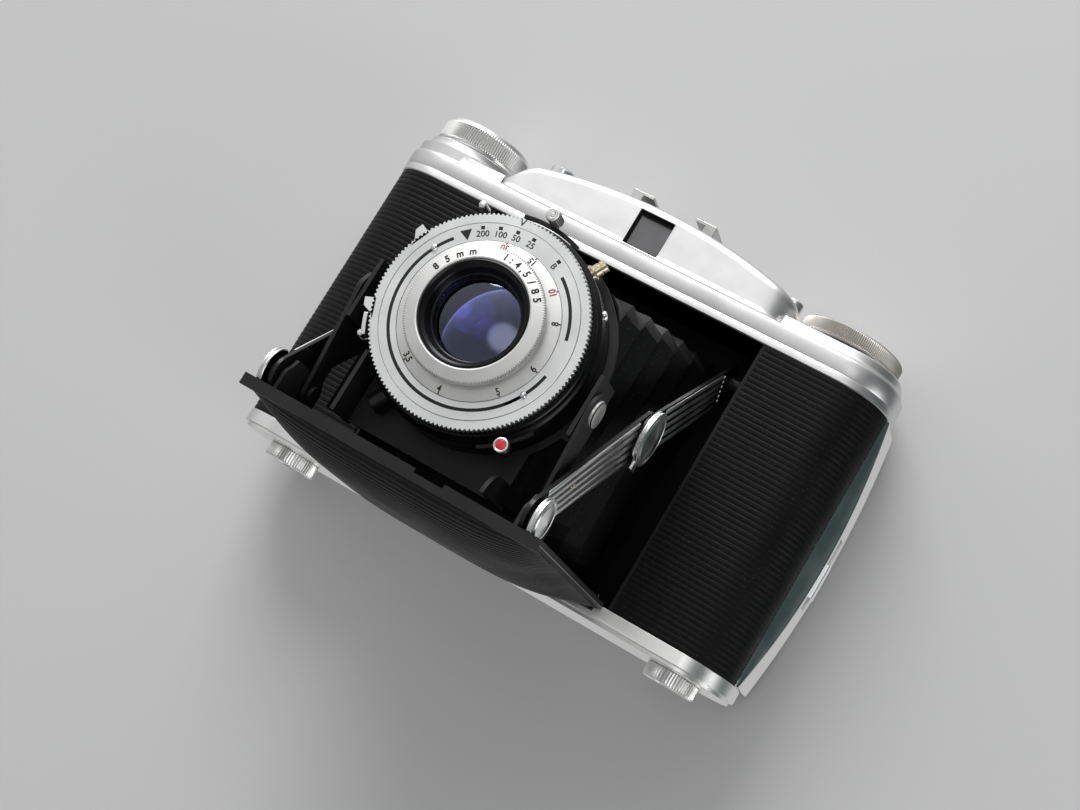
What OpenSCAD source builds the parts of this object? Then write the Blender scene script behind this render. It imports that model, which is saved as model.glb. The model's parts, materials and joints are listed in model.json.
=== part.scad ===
// Folding roll-film camera, 6 x 6 cm on 120 film, shown open.
// +X is to the right of someone facing the lens, -Y is the way the lens looks, +Z is up.
// The origin is the mouth of the tripod socket, in the middle of the bottom plate.

/* [Body] */
// Width over the rounded ends
body_w = 148; // [140:1:156]
// Thickness from the front skin to the back skin
body_d = 34; // [34:0.5:36]
// Radius of the ends in plan
end_r = 14; // [12:0.5:15]
// Height of the ribbed skin
skin_h = 76; // [76:0.5:80]
// Height of the bottom plate
base_h = 4.5; // [4:0.25:6]
// Thickness of the skin
skin_t = 0.6; // [0.4:0.1:0.8]
// Thickness of the metal walls
wall_t = 1.2; // [1:0.1:1.4]
// Side of the square picture
gate_w = 56; // [54:1:58]
// Distance from the middle to each spool axis
spool_x = 59; // [58.5:0.25:59.5]

/* [Bed] */
// Half width of the front opening
opening_x = 40; // [39.5:0.25:41]
// Half width of the bed
bed_x = 38.9; // [38:0.1:39]
// Length of the bed, from its hinge to its lip
bed_len = 72; // [71:0.25:72]
// Height of the crown on the outside of the bed
crown_h = 6.8; // [6:0.1:8]
// Depth of the bed's edge under the crown
edge_h = 1.1; // [1:0.1:1.5]

/* [Lens] */
// Height of the lens axis above the lower edge of the skin
axis_up = 35.7; // [35:0.1:36.5]
// Distance of the toothed rim's face from the body's front
rim_out = 68.4; // [68:0.1:69]
// Radius of the toothed speed ring
rim_r = 25; // [24.5:0.1:25.5]
// Radius of the face plate inside the speed ring
face_r = 22.6; // [22:0.1:22.8]
// Radius of the distance ring
scale_r = 18.5; // [18:0.1:19]
// Radius of the knurled front ring
front_r = 16; // [15.5:0.1:16.5]
// Radius of the mouth of the front ring
mouth_r = 12.5; // [12:0.1:13]
// Height of the front ring ahead of the rim's face
front_h = 5; // [4:0.1:5.2]
// Radius of the front glass
glass_r = 9.7; // [9:0.1:10.5]
// Radius of the shutter housing
drum_r = 26.3; // [26:0.1:27]
// Radius of the lens board
board_r = 28; // [27.5:0.1:28.5]

/* [Fold] */
// Distance of the arm's lower pivot from the body's front
ear_out = 57; // [56:0.5:58]
// Height of the arm's lower pivot above the hinge line
ear_up = 5; // [4.5:0.25:5.5]
// Distance the arm leans forward
arm_lean = 2.7; // [2.6:0.05:2.8]
// Height the arm rises
arm_rise = 26; // [25.5:0.25:26.5]
// Front strut pivot: distance from the body's front
foot_out = 68; // [67.5:0.25:68.5]
// Front strut pivot: height above the hinge line
foot_up = 4.5; // [4:0.25:5]
// Middle strut joint: distance from the body's front
knee_out = 28.1; // [28:0.05:28.2]
// Middle strut joint: height above the hinge line
knee_up = 37; // [36.9:0.05:37.1]
// Rear strut pivot: depth behind the body's front
heel_in = 11.9; // [11.8:0.05:12]
// Rear strut pivot: height above the hinge line
heel_up = 65.75; // [65.7:0.05:65.8]

/* [Top] */
// Height of the top cover's lower band
band_h = 7; // [6:0.25:8]
// Height of the raised middle above the skin, at its highest
crest_h = 20.2; // [19:0.1:21]
// Radius of the raised middle's arched top
crest_r = 155; // [140:5:170]
// Left end of the raised middle
crest_x0 = -43; // [-44:0.5:-42]
// Right end of the raised middle
crest_x1 = 41; // [40:0.5:42]
// Radius of the winding knob
knob_r = 13; // [12:0.25:13.5]
// Height of the winding knob
knob_h = 7; // [6:0.25:8]
// Radius of the film reminder dial
dial_r = 14.2; // [13.5:0.1:14.4]
// Height of the film reminder dial
dial_h = 4.5; // [4:0.25:5]
// Side of the finder window
window_w = 10.2; // [9:0.1:11]

/* [Hidden] */
$fn = 96;
half_w = body_w / 2;
front_y = -body_d / 2;
back_y = body_d / 2;
skin_top = base_h + skin_h;
axis_z = base_h + axis_up;
shell_w = body_w - 2 * skin_t;
shell_d = body_d - 2 * skin_t;
shell_r = end_r - skin_t;
slack = 0.05;
film_y = 6;
door_y = 4.4;
lid_t = 2;
spool_y = -0.5;
spool_h = 65;
hinge_z = base_h + 0.2;
pin_r = 1;
pin_half = 37;
pan_t = 0.7;
foot_r = 4.7;
knee_r = 6;
board_flat = 25.2;
bellows_front = 22.5;
bellows_rear = 30.5;
bellows_tall = 35;
deck_z = skin_top + band_h;
crest_z = skin_top + crest_h;
crest_x = (crest_x0 + crest_x1) / 2;
button_x = crest_x1 - 3.5;
roller_pt = [44.4, 3.4];
knob_z = skin_top + 13;
dial_z = skin_top + 10.5;
door_pin = [-half_w - 1.7, 4.2];
knuckle_h = skin_h / 5;
ear_x = 31.3;
arm_x = 30;
strut_x = 32.6;
strut_t = 1;
rear_x = strut_x + strut_t + 0.15;
cap_x = rear_x + strut_t + 0.1;
board_out = 54;
sync_at = 61;
ear_pt = [front_y - ear_out, base_h + ear_up];
arm_pt = [front_y - ear_out - arm_lean, base_h + ear_up + arm_rise];
foot_pt = [front_y - foot_out, base_h + foot_up];
knee_pt = [front_y - knee_out, base_h + knee_up];
heel_pt = [front_y + heel_in, base_h + heel_up];
black = [0.07, 0.07, 0.075];
satin = [0.86, 0.86, 0.85];
chrome = [0.8, 0.81, 0.83];
brass = [0.72, 0.62, 0.4];

// Children drawn in (y, z), made into a plate of thickness t from x0 to the right
module plate_yz(x0, t) {
    translate([x0, 0, 0]) rotate([90, 0, 90]) linear_extrude(t) children();
}
// Children drawn in (x, z), made into a plate of thickness t from y0 towards the back
module plate_xz(y0, t) {
    translate([0, y0 + t, 0]) rotate([90, 0, 0]) linear_extrude(t) children();
}
// Children drawn along +Z come out along the lens axis, out mm ahead of the body's front
module on_lens(out) {
    translate([0, front_y - out, axis_z]) rotate([90, 0, 0]) children();
}
module ring(r_out, r_in, h) {
    difference() {
        cylinder(r = r_out, h = h);
        translate([0, 0, -1]) cylinder(r = r_in, h = h + 2);
    }
}
// Rectangle with round corners, as exact arcs
module rounded(w, d, r) {
    square([w - 2 * r, d], center = true);
    square([w, d - 2 * r], center = true);
    for (sx = [-1, 1], sy = [-1, 1])
        translate([sx * (w / 2 - r), sy * (d / 2 - r)]) circle(r);
}
module slab(w, d, r, z0, z1) {
    translate([0, 0, z0]) linear_extrude(z1 - z0) rounded(w, d, r);
}
// Square-ended box between two corners
module block(a, b) {
    translate(a) cube(b - a);
}
module on_right(side) {
    if (side > 0) children();
    else mirror([1, 0, 0]) children();
}
// Room for the bed's hinge under the front opening
module hinge_channel() {
    translate([-pin_half, front_y, hinge_z]) rotate([0, 90, 0]) cylinder(r = 2.4, h = 2 * pin_half);
}

module body_shell() {
    inner_w = shell_w - 2 * wall_t;
    color(black) difference() {
        union() {
            difference() {
                slab(shell_w, shell_d, shell_r, base_h - 1.5, skin_top + lid_t);
                slab(inner_w, shell_d - 2 * wall_t, shell_r - wall_t, base_h, skin_top);
                block([-half_w, 4, base_h], [half_w, body_d, skin_top]);
            }
            for (s = [-1, 1]) block([s * 41.6 - 0.6, front_y + 1, base_h - 0.5],
                                    [s * 41.6 + 0.6, 3.9, skin_top + 0.5]);
        }
        block([-opening_x, front_y - 1, base_h], [opening_x, front_y + 3, skin_top]);
        hinge_channel();
        for (s = [-1, 1]) translate([s * spool_x, spool_y, -1]) cylinder(r = 2.55, h = 8);
        translate([-spool_x, spool_y, skin_top - 1]) cylinder(r = 2.55, h = 8);
        translate([-36, 0, skin_top - 1]) cylinder(r = 2.2, h = 8);
        cylinder(r = 7.6, h = 8);
        for (s = [-1, 1]) translate([s * roller_pt[0], roller_pt[1], base_h - 1])
            cylinder(r = 0.9 + slack, h = skin_h + 2);
    }
    color(chrome) translate([spool_x, spool_y, skin_top - 9.5]) cylinder(r = 2.5, h = 9.6);
}

module skin(side) {
    color(black) on_right(side) difference() {
        slab(body_w, body_d, end_r, base_h, skin_top);
        slab(shell_w, shell_d, shell_r, base_h - 1, skin_top + 1);
        block([-half_w - 1, -body_d, 0], [opening_x + 0.8, body_d, 200]);
        block([0, -4, 0], [half_w + 1, body_d, 200]);
    }
}
module skin_right() { skin(1); }
module skin_left() { skin(-1); }

module end_plate(side) {
    color(chrome) on_right(side)
        block([half_w - skin_t, -3.9, base_h], [half_w - slack, 3.9, skin_top]);
}
module end_plate_right() { end_plate(1); }
module end_plate_left() { end_plate(-1); }

module film_gate() {
    color(black) difference() {
        union() {
            block([-42.2, 4, base_h + 0.05], [42.2, 5.2, skin_top - 0.05]);
            for (s = [-1, 1]) block([-42.2, 5.2, axis_z + s * 31 - 1.2], [42.2, film_y, axis_z + s * 31 + 1.2]);
        }
        block([-gate_w / 2, 0, axis_z - gate_w / 2], [gate_w / 2, 9, axis_z + gate_w / 2]);
    }
}

module film_roller(side) {
    color(chrome) translate([side * roller_pt[0], roller_pt[1], 0]) {
        translate([0, 0, axis_z - 32]) cylinder(r = 1.9, h = 64);
        translate([0, 0, base_h - 0.9]) cylinder(r = 0.9, h = skin_h + 1.8);
    }
}
module film_roller_right() { film_roller(1); }
module film_roller_left() { film_roller(-1); }

module crest(inset) {
    rise = crest_z - inset;
    intersection() {
        plate_xz(front_y, body_d) intersection() {
            translate([crest_x, rise - crest_r]) circle(crest_r, $fn = 360);
            translate([-half_w, skin_top + 1]) square([body_w, 40]);
        }
        translate([crest_x, 0, skin_top]) linear_extrude(30)
            rounded(crest_x1 - crest_x0 - 2 * inset, body_d - 1.4 - 2 * inset, 7 - inset);
    }
}

// The raised end of the deck under a knob
module deck_step(side, rise) {
    intersection() {
        slab(body_w - 3.4, body_d - 3.4, end_r - 1.7, deck_z - 1, deck_z + rise);
        on_right(side) block([42, -body_d, skin_top], [body_w, body_d, deck_z + 9]);
    }
}

module top_cover() {
    color(satin) difference() {
        union() {
            slab(body_w + 0.6, body_d + 0.6, end_r + 0.3, skin_top, deck_z - 1);
            slab(body_w - 1.4, body_d - 1.4, end_r - 0.7, deck_z - 1.5, deck_z);
            crest(0);
            deck_step(-1, 2.4);
            deck_step(1, 2.9);
            translate([-spool_x, spool_y, deck_z - 1]) cylinder(r = knob_r + 0.9, h = 6.6);
        }
        slab(shell_w + 0.1, shell_d + 0.1, shell_r, skin_top - 1, skin_top + lid_t);
        slab(body_w - 3, body_d - 3, end_r - 1.5, skin_top + 1.5, deck_z - wall_t);
        crest(wall_t);
        translate([-spool_x, spool_y, 0]) cylinder(r = 2.6, h = 200);
        translate([spool_x - 3, 0, deck_z - 2]) cylinder(r = 2.05, h = 20);
        translate([-36, 0, deck_z]) cylinder(r = 3.65, h = 40);
        translate([button_x, 0, deck_z]) cylinder(r = 2.65, h = 40);
        block([-5.9, -body_d, deck_z + 0.5], [window_w - 5.9, 0, deck_z + 0.5 + window_w]);
        block([-4.9, 0, deck_z + 2], [3.3, body_d, deck_z + 9]);
    }
}

module bottom_plate() {
    color(satin) difference() {
        union() {
            slab(body_w + 0.6, body_d + 0.6, end_r + 0.3, 1, base_h);
            slab(body_w - 1.4, body_d - 1.4, end_r - 0.7, 0, 2);
        }
        slab(shell_w + 0.1, shell_d + 0.1, shell_r, base_h - 1.5, base_h + 1);
        slab(body_w - 4, body_d - 4, end_r - 2, wall_t, base_h);
        hinge_channel();
        for (s = [-1, 1]) translate([s * spool_x, spool_y, -1]) cylinder(r = 2.6, h = 8);
        translate([0, 0, -1]) cylinder(r = 6, h = 8);
    }
}

module tripod_bush() {
    color(chrome) difference() {
        cylinder(r = 6, h = wall_t);
        translate([0, 0, -1]) cylinder(r = 3.175, h = 9);
    }
    color(chrome) translate([0, 0, wall_t]) ring(7.5, 3.175, base_h - 0.1 - wall_t);
}

module finder_window() {
    color([0.3, 0.3, 0.32]) block([-5.8, front_y + 2, deck_z + 0.6], [window_w - 6, front_y + 2.6, deck_z + 0.4 + window_w]);
    color(black) difference() {
        block([-5.8, front_y + 2.6, deck_z + 0.6], [window_w - 6, back_y - 3, deck_z + 0.4 + window_w]);
        block([-4.8, front_y, deck_z + 1.6], [window_w - 7, body_d, deck_z + window_w - 0.6]);
    }
}

module finder_eyepiece() {
    color([0.3, 0.3, 0.32]) block([-4.7, back_y - 2.9, deck_z + 2.2], [3.1, back_y - 1.9, deck_z + 8.8]);
}

module accessory_shoe() {
    z = crest_z - 0.1;
    color(chrome) difference() {
        block([-13, -9, z], [12, 9, z + 3.8]);
        block([-9.8, -12, z + 0.9], [8.8, 12, z + 3]);
        block([-6.8, -12, z + 2], [5.8, 12, z + 6]);
    }
}

module wind_knob() {
    color(chrome) {
        translate([-spool_x, spool_y, knob_z]) {
            cylinder(r = knob_r, h = knob_h - 0.6);
            cylinder(r = knob_r - 0.6, h = knob_h);
        }
        translate([-spool_x, spool_y, skin_top - 3]) cylinder(r = 2.5, h = knob_z - skin_top + 4);
    }
}

module spool() {
    flange_r = 12.6;
    color([0.15, 0.15, 0.15]) translate([0, 0, axis_z - spool_h / 2]) difference() {
        union() {
            cylinder(r = 5.6, h = spool_h);
            for (z = [0, spool_h - 1.2]) translate([0, 0, z]) cylinder(r = flange_r, h = 1.2);
        }
        translate([0, 0, -1]) cylinder(r = 2.55, h = spool_h + 2);
    }
}
module takeup_spool() {
    translate([-spool_x, spool_y, 0]) spool();
    color(chrome) translate([-spool_x, spool_y, axis_z + 20])
        cylinder(r = 2.5, h = skin_top - 3 - axis_z - 20);
}
module feed_spool() {
    translate([spool_x, spool_y, 0]) spool();
}

module reminder_dial() {
    color([0.78, 0.74, 0.66]) translate([spool_x - 3, 0, dial_z]) {
        ring(dial_r, dial_r - 3, dial_h);
        cylinder(r = dial_r - 2.5, h = dial_h - 0.8);
        translate([0, 0, -5]) cylinder(r = 2, h = 6);
    }
}
module dial_plate() {
    color(satin) translate([spool_x - 3, 0, dial_z + dial_h - 0.8]) cylinder(r = 6, h = 0.5);
}

module release_button() {
    color(chrome) translate([-36, 0, skin_top + 3]) {
        cylinder(r = 2.1, h = 11);
        translate([0, 0, 9]) difference() {
            cylinder(r = 3.6, h = 10.2);
            translate([0, 0, 4.2]) cylinder(r = 1.2, h = 10);
        }
    }
}

module bed_button() {
    travel = 2;
    color(chrome) translate([button_x, 0, deck_z + travel + 0.2]) cylinder(r = 2.6, h = 8.8);
}

module spool_knob(side) {
    drop = 3.7;
    color(chrome) translate([side * spool_x, spool_y, 0]) {
        difference() {
            translate([0, 0, -drop]) cylinder(r = 7.25, h = drop - 0.1);
            translate([0, 0, -drop - 1]) cylinder(r = 5.4, h = 2);
        }
        translate([0, 0, -drop + 1]) cylinder(r = 2.5, h = 12.5);
    }
}
module spool_knob_right() { spool_knob(1); }
module spool_knob_left() { spool_knob(-1); }

module back_door() {
    z0 = base_h + 0.15;
    z1 = skin_top - 0.15;
    color(black) difference() {
        slab(body_w, shell_d, shell_r, z0, z1);
        slab(body_w - 2 * wall_t, shell_d - 2 * wall_t, shell_r - wall_t, z0 - 1, z1 + 1);
        block([-half_w - 1, -body_d, 0], [half_w + 1, door_y, 200]);
        translate([-14, body_d, axis_z]) rotate([90, 0, 0]) cylinder(r = 5, h = body_d);
    }
    color(chrome) for (i = [1, 3]) translate([door_pin[0], door_pin[1], base_h + i * knuckle_h]) {
        ring(1.55, 1.05, knuckle_h - 0.3);
        block([1.2, 0.4, 0], [1.7, 2.4, knuckle_h - 0.3]);
    }
}

module door_skin() {
    color(black) difference() {
        block([-58, shell_d / 2, base_h + 1.5], [58, back_y, skin_top - 1.5]);
        block([-20.2, 0, axis_z - 5.2], [3.8, body_d, axis_z + 5.2]);
    }
}

module door_strip() {
    bow = 2.6;
    tall = skin_h / 2;
    bow_r = (tall * tall + bow * bow) / (2 * bow);
    dip = 6.5;
    dip_r = (tall * tall + dip * dip) / (2 * dip);
    color(satin) difference() {
        intersection() {
            block([half_w, -3.6, base_h + 0.3], [half_w + 9, 13, skin_top - 0.3]);
            plate_xz(-10, 40) translate([half_w + bow + 0.6 - bow_r, base_h + tall]) circle(bow_r, $fn = 360);
        }
        plate_yz(half_w - 2, 20) translate([-3.6 + dip - dip_r, base_h + tall]) circle(dip_r, $fn = 360);
        block([half_w + 2, 4.8, axis_z - 10], [half_w + 9, 9.2, axis_z + 10]);
    }
}

module door_hinge() {
    color(chrome) for (i = [0, 2, 4])
        translate([door_pin[0], door_pin[1], base_h + i * knuckle_h]) {
            ring(1.55, 0.9, knuckle_h - 0.3);
            block([1.2, -2.8, 0], [1.7, -0.5, knuckle_h - 0.3]);
        }
    color(chrome) translate([door_pin[0], door_pin[1], base_h + 0.5]) cylinder(r = 1, h = skin_h - 1);
}

module pressure_plate() {
    color(black) block([-36, film_y + 0.4, axis_z - 31], [36, film_y + 1.4, axis_z + 31]);
}
module pressure_spring() {
    sag = 7.6;
    reach = 16;
    leaf_r = (reach * reach + sag * sag) / (2 * sag);
    color(chrome) for (s = [-1, 1]) translate([0, film_y + 1.45, axis_z + s * 18 - 3])
        linear_extrude(6) intersection() {
            translate([0, leaf_r]) difference() {
                circle(leaf_r);
                circle(leaf_r - 0.3);
            }
            translate([-reach, -1]) square([2 * reach, sag + 1]);
        }
}

module film_window() {
    color([0.5, 0.05, 0.04]) translate([-14, 16.2, axis_z]) rotate([90, 0, 0])
        cylinder(r = 4.95, h = 0.8);
}
module window_cover() {
    color(chrome) block([-19.8, 16.45, axis_z - 4.8], [-8.2, 16.85, axis_z + 4.8]);
}
module door_latch() {
    color(chrome) block([half_w + 2.1, 5, axis_z - 7], [half_w + 4, 9, axis_z + 3]);
}

// Depth of the bed's outside below its edge, x across and out along the bed
function crown(x, out) = edge_h + crown_h * (1 - pow(abs(x) / bed_x, 4))
    * (1 - pow(abs(2 * out / bed_len - 1), 4.5));
// A curved sheet that follows the bed's outside, from lo to hi above it
module crowned(half, out0, out1, lo, hi) {
    n = 24;
    row = n + 1;
    level = row * row;
    points = [for (h = [lo, hi], j = [0 : n], i = [0 : n])
        let (x = half * (2 * i / n - 1), out = out0 + (out1 - out0) * j / n)
        [x, front_y - out, base_h - crown(x, out) + h]];
    cells = [for (j = [0 : n - 1], i = [0 : n - 1]) j * row + i];
    rim = concat([for (i = [0 : n - 1]) i], [for (j = [0 : n - 1]) j * row + n],
        [for (i = [n : -1 : 1]) n * row + i], [for (j = [n : -1 : 1]) j * row]);
    upper = [for (c = cells, f = [[0, 1, row + 1], [0, row + 1, row]]) [for (k = f) level + c + k]];
    lower = [for (c = cells, f = [[0, row + 1, 1], [0, row, row + 1]]) [for (k = f) c + k]];
    sides = [for (k = [0 : len(rim) - 1])
        let (a = rim[k], b = rim[(k + 1) % len(rim)])
        each [[level + b, level + a, a], [level + b, a, b]]];
    polyhedron(points, concat(upper, lower, sides));
}

module bed() {
    lip_y = front_y - bed_len;
    notch = [7, 14.5];
    lug = [27, 7];
    color(black) {
        crowned(bed_x - 0.6, 2.4, bed_len - 0.8, skin_t, skin_t + pan_t);
        for (s = [-1, 1]) block([s * (bed_x - 0.4) - 0.4, lip_y, base_h - edge_h + 0.1],
                                [s * (bed_x - 0.4) + 0.4, front_y - 0.4, base_h + 0.8]);
        difference() {
            block([-bed_x, lip_y, base_h - edge_h - 0.9], [bed_x, lip_y + 1, base_h + 0.8]);
            block([notch[0], lip_y - 1, base_h - 0.2], [notch[1], lip_y + 2, base_h + 2]);
        }
        difference() {
            for (s = [-1, 1]) {
                translate([s * lug[0] - lug[1], front_y, hinge_z]) rotate([0, 90, 0])
                    cylinder(r = 1.8, h = 2 * lug[1]);
                block([s * lug[0] - lug[1], front_y - 3.4, base_h - 0.9],
                      [s * lug[0] + lug[1], front_y, base_h + 0.1]);
            }
            translate([-50, front_y, hinge_z]) rotate([0, 90, 0]) cylinder(r = pin_r + slack, h = 100);
        }
    }
}
module bed_skin() {
    color(black) crowned(bed_x - 0.6, 2.4, bed_len - 0.8, 0, skin_t);
}
module bed_hinge_pin() {
    lug_x = pin_half - 1;
    color(chrome) translate([-pin_half, front_y, hinge_z]) rotate([0, 90, 0])
        cylinder(r = pin_r, h = 2 * pin_half);
    color(black) for (s = [-1, 1])
        block([s * lug_x - 0.9, front_y - 0.9, base_h], [s * lug_x + 0.9, front_y + 4.4, base_h + 2]);
}

// A round boss along x at a point of the fold
module stud(p, x0, x1, r) {
    translate([x0, p[0], p[1]]) rotate([0, 90, 0]) cylinder(r = r, h = x1 - x0);
}
// A flat link between two pivots
module link(p, q, rp, rq, x0, t) {
    plate_yz(x0, t) hull() {
        translate(p) circle(rp, $fn = 48);
        translate(q) circle(rq, $fn = 48);
    }
}

// Height of the pan's inside, less the depth that a foot sinks into it
function pan_z(x, out) = base_h - crown(x, out) + skin_t + pan_t - 0.2;
module ear(side) {
    corner = 4;
    back = ear_out - 8;
    front = foot_out + 2.4;
    top = base_h + 9;
    color(black) on_right(side) {
        plate_yz(ear_x, 1) {
            polygon(concat([for (i = [0 : 8]) let (out = back + (front - back) * i / 8)
                [front_y - out, pan_z(ear_x + 0.5, out)]],
                [[front_y - front, foot_pt[1]], [front_y - front + 3, top],
                 [front_y - back - corner, top], [front_y - back, top - corner]]));
            translate([front_y - back - corner, top - corner]) circle(corner);
            translate(foot_pt) circle(2.4);
        }
        stud(ear_pt, arm_x - 0.4, ear_x, pin_r);
        stud(ear_pt, arm_x - 1.1, arm_x - 0.1, 1.9);
        stud(foot_pt, ear_x, cap_x + 0.4, 1.2);
    }
    color(chrome) on_right(side) {
        stud(foot_pt, rear_x - 0.1, cap_x + 0.1, 2.6);
        stud(foot_pt, cap_x, cap_x + 0.9, 5.2);
        stud(foot_pt, cap_x + 0.9, cap_x + 1.3, 3.6);
    }
}
module ear_right() { ear(1); }
module ear_left() { ear(-1); }

module front_strut(side) {
    color(chrome) on_right(side) difference() {
        link(foot_pt, knee_pt, foot_r, knee_r, strut_x, strut_t);
        stud(foot_pt, strut_x - 1, strut_x + 3, 1.25);
        stud(knee_pt, strut_x - 1, strut_x + 3, 1.5);
    }
}
module front_strut_right() { front_strut(1); }
module front_strut_left() { front_strut(-1); }

module rear_strut(side) {
    color(chrome) on_right(side) {
        difference() {
            link(heel_pt, knee_pt, 5, knee_r, rear_x, strut_t);
            stud(heel_pt, rear_x - 1, rear_x + 3, 1.5);
        }
        stud(knee_pt, rear_x + strut_t, rear_x + strut_t + 0.7, knee_r - 0.15);
        stud(knee_pt, rear_x + strut_t + 0.7, rear_x + strut_t + 1.3, 4.4);
    }
}
module rear_strut_right() { rear_strut(1); }
module rear_strut_left() { rear_strut(-1); }

module strut_anchors() {
    color(black) for (s = [-1, 1]) on_right(s) {
        stud(heel_pt, rear_x, 41, 1.45);
        stud(heel_pt, rear_x + strut_t + 0.1, 41, 2.6);
    }
}

module arm(side) {
    color(black) on_right(side) difference() {
        link(ear_pt, arm_pt, 3, 4.6, arm_x, 1);
        stud(ear_pt, arm_x - 1, arm_x + 2, pin_r + slack);
        stud(arm_pt, arm_x - 1, arm_x + 2, 1.25);
    }
}
module arm_right() { arm(1); }
module arm_left() { arm(-1); }

module lens_board() {
    flange_x = arm_x - 0.2;
    board_y = front_y - board_out;
    low = axis_z - 12;
    foot = base_h + 3.6;
    wing_x = 21;
    wing_y = front_y - 64;
    pad = [front_y - 61.5, foot];
    pad_r = 5.5;
    post_x = [bellows_front + 0.8, 26.5];
    color(black) {
        difference() {
            union() {
                intersection() {
                    on_lens(board_out - 2) cylinder(r = board_r, h = 2);
                    block([-board_r, -body_w, 0], [board_r, 0, axis_z + board_flat]);
                }
                block([-flange_x, board_y, low], [flange_x, board_y + 2, axis_z + 3]);
                block([-wing_x, board_y, base_h + 4], [wing_x, board_y + 2, axis_z]);
            }
            on_lens(board_out - 3) cylinder(r = 11.5, h = 4);
        }
        for (s = [-1, 1]) on_right(s) {
            plate_yz(flange_x - 1, 1) translate([arm_pt[0] - 4, low])
                square([board_y - arm_pt[0] + 5, 15]);
            stud(arm_pt, flange_x - 0.5, arm_x + 1.2, 1.2);
        }
        plate_yz(-wing_x, 1) polygon([[wing_y, foot], [wing_y, base_h + 19],
            [board_y + 1.9, base_h + 15.5], [board_y + 1.9, foot]]);
        plate_yz(wing_x - 1, 1) difference() {
            union() {
                translate(pad) circle(pad_r);
                translate(pad) square([11, pad_r]);
            }
            translate([pad[0] - 2 * pad_r, foot - 2 * pad_r]) square([30, 2 * pad_r]);
        }
        block([wing_x - 1, board_y + 2, base_h + 5], [post_x[1], board_y + 4, base_h + 8.5]);
        block([post_x[0], board_y + 2, base_h + 5], [post_x[1], board_y + 4, base_h + 19]);
    }
    color(chrome) for (s = [-1, 1]) on_right(s) stud(arm_pt, arm_x + 1.1, arm_x + 1.9, 3.2);
}

module bellows() {
    front = front_y - board_out + 2.1;
    rear = film_y - 2.1;
    small = bellows_front;
    wide = bellows_rear;
    tall = bellows_tall;
    fold_t = 2.5;
    color(black) difference() {
        hull() {
            block([-small, front, axis_z - small], [small, front + 1, axis_z + small]);
            block([-wide, rear - 4, axis_z - tall], [wide, rear, axis_z + tall]);
        }
        hull() {
            block([fold_t - small, front - 1, axis_z - small + fold_t], [small - fold_t, front, axis_z + small - fold_t]);
            block([fold_t - wide, rear, axis_z - tall + fold_t], [wide - fold_t, rear + 1, axis_z + tall - fold_t]);
        }
    }
}

module shutter_housing() {
    color(black) {
        on_lens(board_out) ring(drum_r, 11.5, rim_out - board_out - 3.1);
        on_lens(rim_out - 3.1) ring(face_r, 13, 1.7);
    }
}
module speed_ring() {
    color(satin) on_lens(rim_out - 3) {
        ring(rim_r, face_r + slack, 3);
        for (a = [152, 197]) rotate(a) translate([rim_r - 1, -2.4, 0]) cube([3.1, 4.8, 3]);
    }
}
module face_plate() {
    color(satin) on_lens(rim_out - 1.4) ring(face_r, scale_r + slack, 1.4);
}
module distance_ring() {
    color(satin) on_lens(rim_out - 1.35) ring(scale_r, 12, 1.45);
}
module front_ring() {
    color(satin) on_lens(rim_out + 0.1) difference() {
        cylinder(r = front_r, h = front_h - 0.1);
        translate([0, 0, -0.01]) cylinder(r1 = glass_r + 0.4, r2 = mouth_r, h = front_h);
    }
}
module front_glass() {
    cap = 2.2;
    ball = (glass_r * glass_r + cap * cap) / (2 * cap);
    color([0.2, 0.2, 0.35, 0.5]) on_lens(rim_out - 1.2) intersection() {
        cylinder(r = glass_r, h = cap + 1);
        translate([0, 0, cap + 1 - ball]) sphere(r = ball, $fn = 128);
    }
    color(black) on_lens(rim_out - 1.2) ring(12, glass_r, 1.25);
}
module rear_cell() {
    color(black) on_lens(board_out - 5) ring(11.4, 8.6, 8);
    color([0.2, 0.2, 0.35, 0.5]) on_lens(board_out - 4) cylinder(r = 8.6, h = 2);
}
module iris_blades() {
    color(chrome) on_lens(board_out + 5) ring(11.45, 4, 0.4);
}

// Part of a ring that rides on the shutter housing, centred on an angle
module collar(a, spread, out) {
    on_lens(out) linear_extrude(0.9) intersection() {
        difference() {
            circle(drum_r + 1);
            circle(drum_r + slack);
        }
        rotate(a) polygon([[0, 0], [40 * cos(spread), -40 * sin(spread)], [50, 0],
            [40 * cos(spread), 40 * sin(spread)]]);
    }
}
module lever(a, spread, out, knob_at, knob_rad, tip_out) {
    collar(a, spread, out);
    on_lens(out) rotate(a) translate([drum_r + 0.5, -0.9, 0]) cube([knob_at - drum_r, 1.8, 0.9]);
    on_lens(out) rotate(a) translate([knob_at, 0, 0]) cylinder(r = knob_rad, h = tip_out - out);
}
module cocking_lever() { color(chrome) lever(85.5, 16, 63.4, 28.4, 1.9, 69.6); }
module timer_lever() { color(chrome) lever(-48, 14, 62, 28.8, 1.8, 68.6); }
module aperture_lever() { color(chrome) lever(122, 10, 60.6, 28.6, 0.9, 65); }
module release_lever() {
    color(chrome) lever(209, 10, 59.2, 28.6, 0.8, 64.6);
}
module sync_post() {
    color(brass) on_lens(57.2) rotate([0, 0, sync_at]) translate([drum_r - 0.15, 0, 0]) rotate([0, 90, 0]) {
        cylinder(r = 1.9, h = 1);
        cylinder(r = 1.5, h = 4.1);
    }
}
module cable_socket() {
    color(chrome) on_lens(56.8) rotate([0, 0, 239]) translate([drum_r - 0.15, 0, 0]) rotate([0, 90, 0])
        ring(2.4, 1.4, 4.4);
}

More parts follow.
